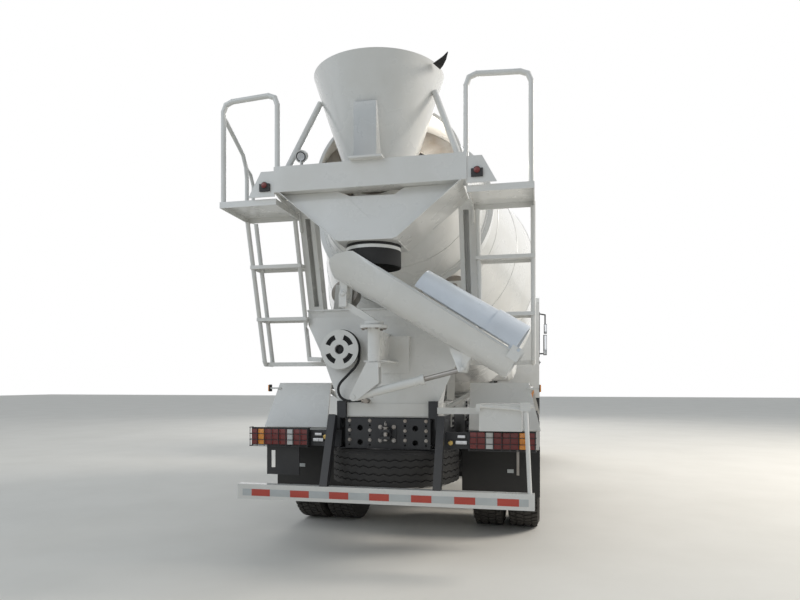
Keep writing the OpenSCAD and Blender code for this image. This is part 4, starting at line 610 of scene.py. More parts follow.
def make_seats():
    bases = bmesh.new()
    for side, word in SIDES:
        x = side * SEAT_X
        lean = Matrix.Translation((x, 2.93, 1.86)) @ Matrix.Rotation(math.radians(12), 4, "X")
        pillow(f"seat_cushion_{word}", (x - 0.25, 2.93, 1.755), (x + 0.25, 3.40, 1.88), 0.10)
        pillow(f"seat_back_{word}", (-0.24, -0.07, 0.0), (0.24, 0.05, 0.64), 0.12, matrix=lean)
        pillow(f"head_rest_{word}", (-0.14, -0.06, 0.65), (0.14, 0.04, 0.84), 0.12, cuts=7, matrix=lean)
        block(bases, (x - 0.23, 2.96, 1.3205), (x + 0.23, 3.34, 1.76), 0.012)
        for z in (1.42, 1.47, 1.52, 1.57, 1.62):
            block(bases, (x - 0.225, 2.975, z), (x + 0.225, 3.345, z + 0.022), 0.006)
        for post in (-0.06, 0.06):
            revolve(bases, [(0, 0.62), (0.008, 0.62), (0.008, 0.68), (0, 0.68)],
                    lean @ Matrix.Translation((post, -0.01, 0)), 10)
        for arm in (-1, 1):
            rest = x + arm * 0.27
            hinge = x + arm * 0.262
            block(bases, (rest - 0.022, 2.93, 1.98), (rest + 0.022, 3.26, 2.03), 0.012)
            block(bases, (hinge - 0.014, 2.90, 1.90), (hinge + 0.014, 2.97, 2.03), 0.006)
    pillow("bunk_mattress", (-1.19, 2.416, 1.752), (1.19, 2.84, 1.90), 0.04, cuts=14, edge=0.04)
    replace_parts(add_piece("seat_bases", bases, "black_plastic", "cab"), "cab_interior")


# Section of the dashboard: y, z
DASH = [(4.05, 1.70), (4.07, 1.99), (4.14, 2.03), (4.36, 2.005), (4.36, 1.56), (4.15, 1.56)]


def make_dashboard():
    bm = bmesh.new()
    rows = []
    for x in (-1.12, -0.9, -0.4, 0.4, 0.9, 1.12):
        front = 4.34 if abs(x) < 0.95 else 4.27
        rows.append([bm.verts.new((x, min(y, front) if y > 4.2 else y, z)) for y, z in DASH])
    for a, b in zip(rows, rows[1:]):
        for i in range(6):
            bm.faces.new((a[i], a[(i + 1) % 6], b[(i + 1) % 6], b[i]))
    bm.faces.new(list(reversed(rows[0])))
    bm.faces.new(rows[-1])
    bmesh.ops.bevel(bm, geom=list(bm.edges), offset=0.012, segments=2, affect="EDGES")
    # Instrument hood, switch panel, vents and the boxes below at both sides
    block(bm, (-0.98, 4.03, 1.99), (-0.46, 4.2, 2.075), 0.02)
    block(bm, (-0.2, 4.036, 1.75), (0.24, 4.07, 1.96), 0.01)
    for x in (-1.04, -0.36, 0.36, 0.62, 0.98):
        block(bm, (x - 0.05, 4.044, 1.88), (x + 0.05, 4.07, 1.96), 0.006)
    both_sides(bm, (0.86, 4.12, 1.32), (1.12, 4.34, 1.6), 0.02)
    add_piece("dashboard", bm, "black_plastic", "cab")
    # Round dials and the switches
    bm = bmesh.new()
    for x in (-0.84, -0.72, -0.60):
        dial = [(0, 0), (0.048, 0), (0.048, 0.004), (0.044, 0.006), (0, 0.006)]
        revolve(bm, dial, aim((x, 4.031, 2.03), BACK), 24)
    for i in range(5):
        x = -0.17 + i * 0.08
        for z in (1.78, 1.86):
            block(bm, (x, 4.03, z), (x + 0.05, 4.037, z + 0.05), 0.003)
    add_piece("instruments", bm, "engine_grey", "cab")
    # Steering wheel with its column and stalks, pedals and gear lever
    bm = bmesh.new()
    tilt = Matrix.Translation((-SEAT_X, 3.87, 2.052)) @ Matrix.Rotation(math.radians(42), 4, "X")
    tube(bm, [tilt @ Vector((x, y, 0)) for x, y in circle(0.22, 40)], 0.0155, 10, closed=True)
    revolve(bm, [(0, -0.012), (0.062, -0.012), (0.066, 0.0), (0.058, 0.012), (0, 0.016)], tilt, 28)
    for angle in (30, 150, 270):
        spoke = tilt @ Matrix.Rotation(math.radians(angle), 4, "Z")
        block(bm, (0.03, -0.014, -0.008), (0.215, 0.014, 0.006), 0.005, spoke)
    tube(bm, [(-SEAT_X, 4.10, 1.80), (-SEAT_X, 3.88, 2.042)], 0.028, 16)
    for x in (-0.66, -0.94):
        block(bm, (x, 3.955, 1.94), (x + 0.16, 3.975, 1.955), 0.006)
    for x in (-0.86, -0.72, -0.58):
        block(bm, (x - 0.03, 4.06, 1.36), (x + 0.03, 4.075, 1.46), 0.006)
        tube(bm, [(x, 4.07, 1.42), (x, 4.16, 1.58)], 0.008, 8)
    tube(bm, [(-0.34, 3.62, 1.72), (-0.33, 3.6, 1.98)], 0.009, 8)
    knob = [(0, -0.03), (0.02, -0.022), (0.026, 0.0), (0.02, 0.02), (0, 0.026)]
    revolve(bm, knob, aim((-0.33, 3.6, 1.99), UP), 16)
    add_piece("steering_wheel", bm, "black_plastic", "cab")


# Cab: seals, handles, grille and mirrors' glass
# Sides of the rear window: left, right, foot, top
REAR_WINDOW = (-0.566, 0.566, 2.254, 2.686)
# Outline of a door's glass: y, z
DOOR_WINDOW = [(3.21, 2.06), (3.21, 2.77), (4.05, 2.77), (4.12, 2.60), (4.15, 1.97), (3.82, 1.97),
               (3.76, 2.06)]


def rounded_loop(x0, x1, z0, z1, radius, steps=6):
    """Corner points of a rounded rectangle, in x and z."""
    out = []
    for cx, cz, start in ((x1 - radius, z1 - radius, 0), (x0 + radius, z1 - radius, 90),
                          (x0 + radius, z0 + radius, 180), (x1 - radius, z0 + radius, 270)):
        for i in range(steps + 1):
            angle = math.radians(start + 90 * i / steps)
            out.append((cx + radius * math.cos(angle), cz + radius * math.sin(angle)))
    return out


def make_window_seals():
    bm = bmesh.new()
    x0, x1, z0, z1 = REAR_WINDOW
    for off, radius in ((0.0, 0.013), (0.02, 0.009)):
        loop = rounded_loop(x0 - off, x1 + off, z0 - off, z1 + off, 0.075 + off)
        tube(bm, [(x, 2.366, z) for x, z in loop], radius, 8, closed=True)
    add_piece("rear_window_seal", bm, "rubber", "cab")
    for side, word in SIDES:
        bm = bmesh.new()
        tube(bm, [(side * 1.2465, y, z) for y, z in DOOR_WINDOW], 0.011, 8, closed=True)
        tube(bm, [(side * 1.232, 3.90, 1.98), (side * 1.232, 3.97, 2.765)], 0.010, 8)
        side_block(bm, side, (1.236, 3.215, 2.052), (1.254, 3.76, 2.066), 0.003)
        add_piece(f"door_seal_{word}", bm, "rubber", f"{word}_door")
        # Handle in its tray, with the key barrel
        bm = bmesh.new()
        side_block(bm, side, (1.243, 3.155, 1.79), (1.252, 3.335, 1.87), 0.004)
        side_block(bm, side, (1.25, 3.165, 1.822), (1.272, 3.30, 1.842), 0.006)
        barrel = [(0, 0), (0.012, 0), (0.012, 0.004), (0, 0.006)]
        revolve(bm, barrel, aim((side * 1.252, 3.32, 1.812), (side, 0, 0)), 16)
        add_piece(f"door_handle_{word}", bm, "black_plastic", f"{word}_door")
    # Windscreen seal along the glass's own border
    bm = bmesh.new()
    border = [(x, 2.072) for x in (-1.088, -0.75, 0, 0.75, 1.088)] + [(1.088, 2.4)]
    border += [(x, 2.808) for x in (1.088, 0.75, 0, -0.75, -1.088)] + [(-1.088, 2.4)]
    tube(bm, [(x, windscreen_y(x, z), z) for x, z in border], 0.013, 8, closed=True)
    add_piece("windscreen_seal", bm, "rubber", "cab")


def windscreen_y(x, z):
    """The cab's front surface at x and z, from the side line and the plan's front."""
    side = 4.270 + (2.860 - z) * (4.460 - 4.270) / (2.860 - 2.040)
    x = abs(x)
    if x < 0.765:
        plan = 4.534 - x / 0.765 * 0.009
    elif x < 1.015:
        plan = 4.525 - (x - 0.765) * 0.16
    else:
        plan = 4.485 - (x - 1.015) * 0.75
    return min(side, plan)


def flap_y(z):
    """The front flap's surface at z."""
    return 4.53 if z < 1.5 else 4.53 - (z - 1.5) * 0.0625


def make_grille():
    """Black grille with slats on the front flap."""
    bm = bmesh.new()
    for k in range(6):
        z = 1.40 + 0.08 * k
        block(bm, (-0.74, flap_y(z) - 0.004, z), (0.74, flap_y(z) + 0.02, z + 0.034), 0.006)
    for x in (-0.76, 0.76):
        tube(bm, [(x, flap_y(z) + 0.006, z) for z in (1.38, 1.5, 1.86)], 0.012, 8)
    for z in (1.38, 1.86):
        tube(bm, [(x, flap_y(z) + 0.006, z) for x in (-0.76, 0.76)], 0.012, 8)
    add_piece("grille_slats", bm, "black_plastic", "flap")
    bm = bmesh.new()
    y = flap_y(1.35)
    block(bm, (-0.16, y - 0.004, 1.338), (0.16, y + 0.012, 1.362), 0.004)
    add_piece("flap_handle", bm, "black_plastic", "flap")


def make_mirror_glass():
    bm = bmesh.new()
    both_sides(bm, (1.338, 4.188, 2.022), (1.393, 4.192, 2.408), 0.0015)
    both_sides(bm, (1.346, 4.188, 2.46), (1.393, 4.192, 2.63), 0.0015)
    add_piece("mirror_glass", bm, "mirror", "cab", slot=None)


# Mixer: seams, bolts and coil
# Outline of the drum: distance along its axis from the mouth, and radius
SHELL = [(0.0, 0.606), (0.64, 0.768), (2.05, 1.19), (2.95, 1.19), (4.33, 0.83), (4.52, 0.72), (4.64, 0.52),
         (4.69, 0.2)]
RING_SEAMS = (0.40, 0.92, 1.45, 2.05, 2.95, 3.6, 4.33, 4.52)
# Seams along the shell: start, end, angle
LONG_SEAMS = ((0.78, 2.05, 20), (2.05, 2.95, 140), (2.95, 4.33, 260), (0.04, 0.62, 200))


def shell_radius(s):
    for (s0, r0), (s1, r1) in zip(SHELL, SHELL[1:]):
        if s <= s1:
            return r0 + (r1 - r0) * (s - s0) / (s1 - s0)
    return SHELL[-1][1]


def make_drum_details():
    bm = bmesh.new()
    for s in RING_SEAMS:
        tube(bm, [on_drum(s, shell_radius(s), math.tau * i / 64) for i in range(64)], 0.005, 8, closed=True)
    for start, end, angle in LONG_SEAMS:
        tube(bm, [on_drum(s, shell_radius(s), math.radians(angle)) for s in (start, end)], 0.005, 8)
    add_piece("drum_welds", bm, "white_paint", "drum")
    # Bolts of the hand hole's cover and of the drum's front end
    bm = bmesh.new()
    top = on_drum(2.5, 1.212, 0.0)
    for x, along in circle(0.2, 12):
        hexagon(bm, top + Vector((x, 0, 0)) + DRUM_WAY * along, DRUM_UP, 0.03, 0.018)
    for i in range(16):
        hexagon(bm, on_drum(4.67, 0.235, math.tau * (i + 0.5) / 16), -DRUM_WAY, 0.034, 0.02)
    add_piece("drum_bolts", bm, "bare_steel", "drum")


def make_hose_coil():
    bm = bmesh.new()
    for radius in (0.0735, 0.0955, 0.1175, 0.1385):
        for v in (0.2675, 0.2893, 0.3111, 0.3329):
            loop = [(REEL_X + x, GUARD_Y + v, REEL_Z + z) for x, z in circle(radius, 40)]
            tube(bm, loop, HOSE_RADIUS, 8, closed=True)
    # Last turn, which leaves the reel
    angles = [math.radians(a) for a in range(0, 111, 5)]
    last = [(REEL_X + 0.16 * math.cos(a), GUARD_Y + 0.303, REEL_Z + 0.16 * math.sin(a)) for a in angles]
    tube(bm, last, HOSE_RADIUS, 10)
    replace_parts(add_piece("wound_hose", bm, "rubber", smooth=50), "hose_coil")


# Bolts on the rails: x, places along, offsets along, heights, size across, height of the head
RAIL_BOLTS = [
    (0.425, (-3.64, -2.9, SADDLE_Y, -0.6, 0.4, 1.3, 1.85), (-0.03, 0.03), (0.95, 1.02, 1.09), 0.022, 0.013),
    (0.439, (-3.0, -1.9, -0.7, 0.3, 1.3), (-0.035, 0.035), (1.06, 1.11, 1.19, 1.225), 0.022, 0.013),
    (0.437, (SADDLE_Y,), (-0.12, 0, 0.12), (0.96, 1.03), 0.028, 0.016)]


def make_frame_bolts():
    bm = bmesh.new()
    for side in (-1, 1):
        for x, places, offsets, heights, across, head in RAIL_BOLTS:
            ys = [y + dy for y in places for dy in offsets]
            bolt_grid(bm, (side * x,), ys, heights, (side, 0, 0), across, head)
    add_piece("frame_bolts", bm, "chassis_black")
    bm = bmesh.new()
    bolt_grid(bm, (-0.325, -0.15, 0.15, 0.325), (GUARD_Y + 0.297,), (0.965, 1.045, 1.125), BACK, 0.02, 0.012)
    bolt_grid(bm, (-0.058, 0.058), (GUARD_Y + 0.286,), (0.965, 1.075), BACK, 0.024, 0.014)
    # Tow jaw's pin with its ring
    pin_y = GUARD_Y + 0.232
    revolve(bm, [(0, -0.055), (0.0185, -0.055), (0.0185, 0.048), (0.024, 0.05), (0.024, 0.058), (0, 0.06)],
            aim((0, pin_y, 1.02), UP), 20)
    tube(bm, [(0.0, pin_y + y, 1.1 + z) for y, z in circle(0.022, 16)], 0.0035, 6, closed=True)
    add_piece("end_plate_bolts", bm, "bare_steel")


def make_post_bolts():
    """Bolts under the swing disc."""
    bm = bmesh.new()
    for x, y in circle(0.086, 6):
        hexagon(bm, POST + Vector((x, y, 1.856)), (0, 0, -1), 0.02, 0.012)
    add_piece("post_bolts", bm, "bare_steel")


# Places of the collector, from its CAD node
PLATE_REAR = GUARD_Y - 0.346
PLATE_FRONT = GUARD_Y + 0.140
PLATE_TOP = 2.872
PLATE_LOW = 2.488
PLATE_LOW_X = (-0.236, 0.216)
PLATE_THICK = 0.006
PANEL_LEAN = 0.085
SKIRT_R = 0.2092
COLLAR_R = 0.195


def panel_point(x, z, inwards=0.0):
    """A point on the collector's rear panel, which leans in towards its top."""
    share = (z - PLATE_LOW) / (PLATE_TOP - PLATE_LOW)
    return Vector((x, PLATE_REAR + PANEL_LEAN * share + inwards, z))


def plate(bm, corners):
    """A flat plate of these corners, thickened away from the side that it faces."""
    corners = [Vector(c) for c in corners]
    front = [bm.verts.new(c) for c in corners]
    face = bm.faces.new(front)
    face.normal_update()
    back = [bm.verts.new(c - face.normal * PLATE_THICK) for c in corners]
    bm.faces.new(list(reversed(back)))
    for i in range(len(corners)):
        j = (i + 1) % len(corners)
        bm.faces.new((front[j], front[i], back[i], back[j]))


def make_collector():
    """The collector's folded plates: its rear panel leans in below the beam and is notched for the spout."""
    bm = bmesh.new()
    outline = [(-0.678, PLATE_TOP), (-0.2303, PLATE_LOW), (0.2103, PLATE_LOW), (0.678, PLATE_TOP),
               (0.268, PLATE_TOP), (0.192, 2.818), (-0.148, 2.826), (-0.252, PLATE_TOP)]
    plate(bm, [panel_point(x, z) for x, z in outline])
    # Folded lips along the notch and the fold across the panel
    tube(bm, [panel_point(x, z, 0.003) for x, z in outline[4:]], 0.0035, 8)
    tube(bm, [panel_point(-0.165, 2.815), panel_point(0.020, 2.640)], 0.0022, 6)
    # Side plates and the lip under the mouth
    high = PLATE_TOP + 0.002
    low = PLATE_LOW - 0.001
    for low_x, high_x in zip(PLATE_LOW_X, (-0.690, 0.690)):
        corners = [(high_x, PLATE_FRONT, high), (low_x, PLATE_FRONT, low), (low_x, PLATE_REAR, low),
                   (high_x, PLATE_REAR, high)]
        plate(bm, corners if low_x < 0 else corners[::-1])
    block(bm, (PLATE_LOW_X[0], PLATE_FRONT - 0.008, low), (PLATE_LOW_X[1], PLATE_FRONT, 2.560), 0.001)
    # Bottom plate with its round hole
    steps = 64
    rings = []
    for z in (2.481, PLATE_LOW):
        inner = []
        outer = []
        for x, y in circle(1.0, steps):
            reach = min(0.226 / max(abs(x), 1e-6), (0.240 if y > 0 else 0.246) / max(abs(y), 1e-6))
            inner.append(bm.verts.new(POST + Vector((x * COLLAR_R, y * COLLAR_R, z))))
            outer.append(bm.verts.new(POST + Vector((x * reach, y * reach, z))))
        rings.append((inner, outer))
    (low_in, low_out), (high_in, high_out) = rings
    for k in range(steps):
        j = (k + 1) % steps
        bm.faces.new((low_in[k], low_in[j], low_out[j], low_out[k]))
        bm.faces.new((high_in[k], high_out[k], high_out[j], high_in[j]))
        bm.faces.new((low_out[k], low_out[j], high_out[j], high_out[k]))
        bm.faces.new((low_in[j], low_in[k], high_in[k], high_in[j]))
    # Skirt's collar
    collar = [(COLLAR_R, 2.430), (COLLAR_R + 0.006, 2.430), (COLLAR_R + 0.006, 2.484), (COLLAR_R, PLATE_LOW)]
    revolve(bm, collar + collar[:1], Matrix.Translation(POST), 64)
    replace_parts(add_piece("collector_plates", bm, "white_paint"), "collector")


def copy_of(node):
    """The CAD node's mesh in a bmesh of its own, for a new piece."""
    bm = bmesh.new()
    bm.from_mesh(nodes[node].data)
    bm.transform(nodes[node].matrix_world)
    bmesh.ops.remove_doubles(bm, verts=bm.verts, dist=0.00005)
    return bm


# Rim of the hopper, in the CAD and as fitted to the photograph: height at the rear, fall per metre forward
HOPPER_APEX = Vector((0, GUARD_Y + 0.025, 2.3023))
RIM_REAR_Y = GUARD_Y - 0.470
RIM_CAD = (3.838, math.tan(math.radians(11)))
RIM_SEEN = (3.805, math.tan(math.radians(-1)))


def make_hopper():
    """The hopper as its CAD node has it, with its rim cut nearly level."""
    bm = copy_of("hopper")
    rise = RIM_SEEN[0] - (HOPPER_APEX.y - RIM_REAR_Y) * RIM_SEEN[1] - HOPPER_APEX.z
    for vert in bm.verts:
        gap = RIM_CAD[0] - (vert.co.y - RIM_REAR_Y) * RIM_CAD[1] - vert.co.z
        if abs(gap) <= 0.004 and vert.co.z >= 3.48:
            arm = vert.co - HOPPER_APEX
            vert.co = HOPPER_APEX + arm * (rise / (arm.z + arm.y * RIM_SEEN[1]))
    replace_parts(add_piece("hopper_shell", bm, "white_paint", smooth=24), "hopper")


# Edges of the curved rubber horn beside the rim: x, y from the guard's face, z
HORN_LEFT = [(0.463, -0.190, 3.790), (0.509, -0.245, 3.784), (0.553, -0.298, 3.778), (0.592, -0.340, 3.785)]
HORN_RIGHT = [(0.504, -0.130, 3.772), (0.538, -0.210, 3.756), (0.573, -0.290, 3.757), (0.594, -0.341, 3.783)]


def make_rubber():
    """Skirt under the collector, mudflaps, and the horn that keeps splashes in at the hopper's right."""
    bm = bmesh.new()
    face = SKIRT_R - 0.0002
    inner = SKIRT_R - 0.0077
    revolve(bm, [(face, 2.316), (SKIRT_R + 0.0002, 2.319), (face, 2.390), (face, 2.4805), (inner, 2.4805),
                 (inner, 2.316), (face, 2.316)], Matrix.Translation(POST), 64)
    both_sides(bm, (0.548, GUARD_Y + 0.900, 0.430), (1.236, GUARD_Y + 0.910, 0.878), 0.002)
    rows = [[Vector((x, GUARD_Y + v, z)) for x, v, z in edge] for edge in (HORN_LEFT, HORN_RIGHT)]
    back = [[p + Vector((0.002, 0.0055, 0)) for p in row] for row in rows]
    verts = [[bm.verts.new(p) for p in row] for row in rows + back]
    for k in range(3):
        bm.faces.new((verts[0][k], verts[1][k], verts[1][k + 1], verts[0][k + 1]))
        bm.faces.new((verts[2][k], verts[2][k + 1], verts[3][k + 1], verts[3][k]))
        for a, b in ((0, 2), (3, 1)):
            bm.faces.new((verts[a][k], verts[a][k + 1], verts[b][k + 1], verts[b][k]))
    for k in (0, 3):
        corners = (verts[0][k], verts[2][k], verts[3][k], verts[1][k])
        bm.faces.new(corners if k == 0 else corners[::-1])
    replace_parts(add_piece("rubber_skirt_and_flaps", bm, "rubber"), "rubber_parts")


# Outline of the chute's upper end in the photograph: x, z
CHUTE_HEAD = [(-0.311, 2.330), (-0.296, 2.360), (-0.246, 2.389), (-0.144, 2.406), (-0.018, 2.400),
              (0.106, 2.362)]


def make_chute():
    """The main chute as its CAD node has it, with the corners of its upper end rounded off."""
    bm = copy_of("main_chute")
    for (x0, z0), (x1, z1) in zip(CHUTE_HEAD, CHUTE_HEAD[1:]):
        bmesh.ops.bisect_plane(bm, geom=bm.verts[:] + bm.edges[:] + bm.faces[:], dist=0.00001,
                               plane_co=(x0, 0, z0), plane_no=(z0 - z1, 0, x1 - x0), clear_outer=True)
        bmesh.ops.holes_fill(bm, edges=[e for e in bm.edges if e.is_boundary], sides=0)
    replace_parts(add_piece("main_chute_trough", bm, "white_paint", "chute", smooth=26), "main_chute")


def make_reel_bearing():
    bm = bmesh.new()
    revolve(bm, [(0, 0), (0.0415, 0), (0.0415, 0.006), (0.038, 0.010), (0.020, 0.010), (0.016, 0.018),
                 (0, 0.018)], aim((REEL_X, GUARD_Y + 0.300, REEL_Z), BACK), 32)
    add_piece("reel_bearing", bm, "black_plastic", slot=None)


def make_skirt_band():
    bm = bmesh.new()
    band = [(SKIRT_R, -0.012), (SKIRT_R + 0.002, -0.012), (SKIRT_R + 0.002, 0.012), (SKIRT_R, 0.012)]
    revolve(bm, band + band[:1], aim(POST + Vector((0, 0, 2.448)), UP), 64)
    add_piece("skirt_band", bm, "white_paint")


def make_mudflap_details():
    bm = bmesh.new()
    tags = bmesh.new()
    y = GUARD_Y + 0.900
    both_sides(bm, (0.56, y - 0.006, 0.845), (1.224, y, 0.875), 0.002)
    both_sides(bm, (1.033, y - 0.007, 0.62), (1.057, y, 0.845), 0.002)
    for side in (-1, 1):
        for k in range(6):
            hexagon(bm, (side * (0.6 + k * 0.116), y - 0.006, 0.86), BACK, 0.016, 0.008)
    both_sides(tags, (0.952, y - 0.0045, 0.640), (1.008, y, 0.672), 0.001)
    add_piece("mudflap_strips", bm, "bare_steel")
    add_piece("mudflap_tags", tags, "tape_silver", slot=None)


def make_couplings():
    """Brass couplings and light blocks beside the frame's end."""
    brass = bmesh.new()
    steel = bmesh.new()
    y = GUARD_Y + 0.312
    for x, z in ((0.53, 0.955), (-0.53, 0.985)):
        revolve(brass, [(0, 0), (0.017, 0), (0.017, 0.018), (0.012, 0.02), (0.012, 0.034), (0.019, 0.036),
                        (0.019, 0.05), (0.013, 0.054), (0, 0.054)], aim((x, y, z), BACK), 16)
    for x in (0.615, -0.60):
        block(steel, (x - 0.045, y - 0.03, 0.945), (x + 0.045, y, 0.972), 0.004)
        block(steel, (x - 0.03, y - 0.026, 0.995), (x + 0.03, y, 1.016), 0.004)
        hexagon(steel, (x, y - 0.03, 0.958), BACK, 0.014, 0.008)
    add_piece("brass_couplings", brass, "brass", slot=None)
    add_piece("lamp_arm_plates", steel, "tank_aluminium")


# Running gear
# Clamps of the tandem springs, the front springs and the saddle: places along, half the gap between the two
# clamps, their shape in x and z, radius of the rod
SPRING_CLAMPS = [
    (DRIVEN_Y, 0.055, [(0.448, 0.60), (0.448, 0.76), (0.468, 0.785), (0.532, 0.785), (0.552, 0.76),
                       (0.552, 0.60)], 0.011),
    ((AXLE_Y["front"],), 0.07, [(0.343, 0.47), (0.343, 0.685), (0.437, 0.685), (0.437, 0.47)], 0.010),
    ((SADDLE_Y,), 0.09, [(0.445, 0.60), (0.445, 0.905), (0.555, 0.905), (0.555, 0.60)], 0.013)]


def make_axle_details():
    bm = bmesh.new()
    for side in (-1, 1):
        for places, half, bow, radius in SPRING_CLAMPS:
            for y in places:
                for dy in (-half, half):
                    tube(bm, [(side * x, y + dy, z) for x, z in bow], radius, 8)
        # Clamp rings of the brake chambers
        for y in DRIVEN_Y:
            centre = Vector((side * 0.33, y - 0.23, 0.645))
            ring = [(0.075, -0.012), (0.083, -0.008), (0.083, 0.008), (0.075, 0.012)]
            revolve(bm, ring, aim(centre, (0, 1, 0)), 32)
            for x, z in circle(0.079, 8):
                hexagon(bm, centre + Vector((x, -0.008, z)), BACK, 0.014, 0.01, washer=False)
    # Bolts of the covers on the axle housings
    for y in DRIVEN_Y:
        for x, z in circle(0.13, 14):
            out = Vector((x, -0.169, z))
            hexagon(bm, Vector((0, y, AXLE_Z)) + out * 0.999, out, 0.022, 0.014)
    add_piece("spring_clamps", bm, "chassis_black")


def make_tank_details():
    """Straps and filler cap of the fuel tank, and the details of the boxes and steps beside the frame."""
    bm = bmesh.new()
    for y in (0.63, 1.61):
        tube(bm, [(0.55, y, 1.081), (1.10, y, 1.081)], 0.004, 6)
    revolve(bm, [(0, 1.125), (0.044, 1.125), (0.046, 1.129), (0.044, 1.137), (0, 1.14)],
            Matrix.Translation((1.02, 0.76, 0)), 32)
    block(bm, (0.985, 0.755, 1.137), (1.055, 0.765, 1.149), 0.003)
    bolt_grid(bm, (1.137,), (0.78, 1.12, 1.46), (1.0, 0.56), (1, 0, 0), 0.02, 0.012)
    add_piece("tank_details", bm, "bare_steel")
    # Battery box lid ribs and latches, air tank end rings
    bm = bmesh.new()
    for k in range(6):
        y = 0.36 + k * 0.1
        block(bm, (-1.151, y, 0.62), (-1.145, y + 0.05, 0.96), 0.003)
    for y in (0.42, 0.83):
        block(bm, (-1.156, y - 0.02, 0.975), (-1.145, y + 0.02, 1.0), 0.003)
    ring = [(0.12, -0.004), (0.1225, -0.002), (0.1225, 0.002), (0.12, 0.004)]
    for y in (1.12, 1.40):
        for x in (-1.04, -0.92, -0.7, -0.58):
            revolve(bm, ring, aim((x, y, 0.76), (1, 0, 0)), 40)
    # Step treads
    for z in (0.64, 0.86):
        for k in range(9):
            y = 3.81 + k * 0.042
            both_sides(bm, (1.08, y, z + 0.0005), (1.232, y + 0.012, z + 0.008), 0.002)
    for k in range(7):
        y = 1.76 + k * 0.05
        block(bm, (0.6, y, 0.96), (1.08, y + 0.014, 0.967), 0.002)
    add_piece("side_box_details", bm, "chassis_black")


def make_platform_treads():
    """Raised grip marks on the platforms."""
    bm = bmesh.new()
    for side in (-1, 1):
        for i in range(11):
            for k in range(12):
                place = Matrix.Translation((side * (0.76 + i * 0.04), GUARD_Y - 0.28 + k * 0.038, 2.84))
                turn = Matrix.Rotation(math.radians(45 if (i + k) % 2 else -45), 4, "Z")
                block(bm, (-0.014, -0.0035, 0), (0.014, 0.0035, 0.0035), 0, place @ turn)
    add_piece("platform_grip", bm, "white_paint")


def make_fender_details():
    bm = bmesh.new()
    bolts = bmesh.new()
    for y in (-2.75, -1.65, -0.55):
        both_sides(bm, (1.155, y - 0.045, 1.3), (1.172, y + 0.045, 1.345), 0.003)
    bolt_grid(bolts, (-0.73, -0.67, 0.67, 0.73), (-3.3, SADDLE_Y, -0.2), (1.396,), UP, 0.022, 0.012)
    add_piece("side_reflectors", bm, "amber", slot=None)
    add_piece("fender_bolts", bolts, "white_paint")


def make_gearbox_bolts():
    bm = bmesh.new()
    rings = ((16, 4.828, 0.219, 0.024, 0.015), (10, 5.24, 0.112, 0.02, 0.012))
    for count, s, radius, across, height in rings:
        for i in range(count):
            hexagon(bm, on_drum(s, radius, math.tau * i / count), DRUM_WAY, across, height)
    add_piece("gearbox_bolts", bm, "bare_steel")


def make_water_tank_details():
    """Bands and lid of the water tank."""
    bm = bmesh.new()
    tank_y = 1.82
    for x in (-0.43, 0.43):
        for dx in (-0.02, 0.02):
            band = [(x + dx, tank_y + y, 1.76 + z) for y, z in circle(0.2985, 48)]
            tube(bm, band, 0.003, 6, closed=True)
    revolve(bm, [(0, 0.0), (0.096, 0.0), (0.099, 0.008), (0.092, 0.018), (0, 0.024)],
            Matrix.Translation((0, tank_y, 2.1)), 32)
    block(bm, (-0.06, tank_y - 0.01, 2.118), (0.06, tank_y + 0.01, 2.136), 0.004)
    add_piece("water_tank_details", bm, "white_paint")


# Stage
TRUCK_MIDDLE = (0, 0, 1.5)
# Name, place, what it points at, watts, size, colour
LAMPS = [("key", (13, 1, 9.5), TRUCK_MIDDLE, 1480, 5, (1, 0.955, 0.89)),
         ("fill", (-9, -13, 9), TRUCK_MIDDLE, 300, 9, (0.80, 0.90, 1)),
         ("front", (-3, 15, 9), TRUCK_MIDDLE, 480, 8, (1, 1, 1)),
         ("mouth", (0.0, -3.62, 3.42), (1, -3.5, 3.3), 9, 0.2, (1, 0.95, 0.88))]


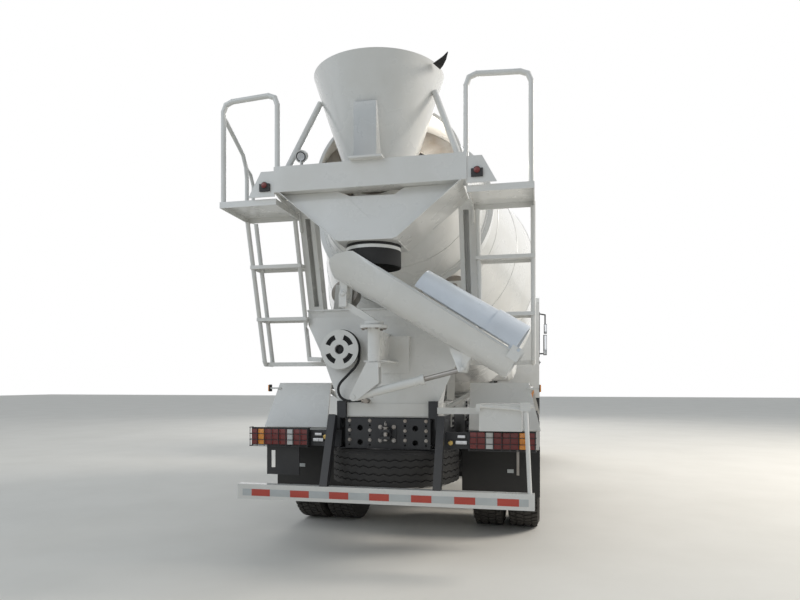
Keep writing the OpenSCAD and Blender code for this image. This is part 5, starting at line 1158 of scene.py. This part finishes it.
def make_world():
    """Cool light on the truck, and plain white for the camera, for reflections and behind glass."""
    world = bpy.data.worlds.new("world")
    bpy.context.scene.world = world
    world.use_nodes = True
    tree = world.node_tree
    background = tree.nodes["Background"]
    background.inputs["Color"].default_value = (0.82, 0.91, 1, 1)
    background.inputs["Strength"].default_value = 0.45
    plain = node_of(tree, "ShaderNodeBackground", Color=(1, 1, 1, 1), Strength=1.0)
    rays = node_of(tree, "ShaderNodeLightPath")
    either = node_of(tree, "ShaderNodeMath", operation="MAXIMUM")
    join(tree, rays, "Is Camera Ray", either, 0)
    join(tree, rays, "Is Glossy Ray", either, 1)
    also = node_of(tree, "ShaderNodeMath", operation="MAXIMUM")
    join(tree, either, "Value", also, 0)
    join(tree, rays, "Is Transmission Ray", also, 1)
    mix = node_of(tree, "ShaderNodeMixShader")
    join(tree, also, "Value", mix, "Fac")
    join(tree, background, "Background", mix, 1)
    join(tree, plain, "Background", mix, 2)
    join(tree, mix, "Shader", tree.nodes["World Output"], "Surface")


def make_stage():
    make_world()
    bm = bmesh.new()
    bmesh.ops.create_grid(bm, x_segments=2, y_segments=2, size=60)
    mesh = bpy.data.meshes.new("floor")
    bm.to_mesh(mesh)
    bm.free()
    mesh.materials.append(shade("floor", (0.86, 0.82, 0.75), (0.82, 0.78, 0.71), 0.85, scale=0.8, bump=0.1))
    floor = bpy.data.objects.new("floor", mesh)
    bpy.context.scene.collection.objects.link(floor)
    for name, place, target, watts, size, colour in LAMPS:
        data = bpy.data.lights.new(name, "AREA")
        data.energy = watts
        data.size = size
        data.color = colour
        lamp = bpy.data.objects.new(name, data)
        lamp.location = place
        lamp.rotation_euler = (Vector(target) - Vector(place)).to_track_quat("-Z", "Y").to_euler()
        bpy.context.scene.collection.objects.link(lamp)
    bpy.context.scene.view_settings.view_transform = "Standard"


make_camera()
make_hose()
dress_cad()
make_tyres()
make_wheel_nuts()
make_guard_tape()
make_tail_lamps()
make_marker_lamps()
make_work_lamp()
make_head_lamps()
make_seats()
make_dashboard()
make_window_seals()
make_grille()
make_mirror_glass()
make_drum_details()
make_hose_coil()
make_frame_bolts()
make_post_bolts()
make_collector()
make_hopper()
make_rubber()
make_chute()
make_reel_bearing()
make_skirt_band()
make_mudflap_details()
make_couplings()
make_axle_details()
make_tank_details()
make_platform_treads()
make_fender_details()
make_gearbox_bolts()
make_water_tank_details()
make_stage()
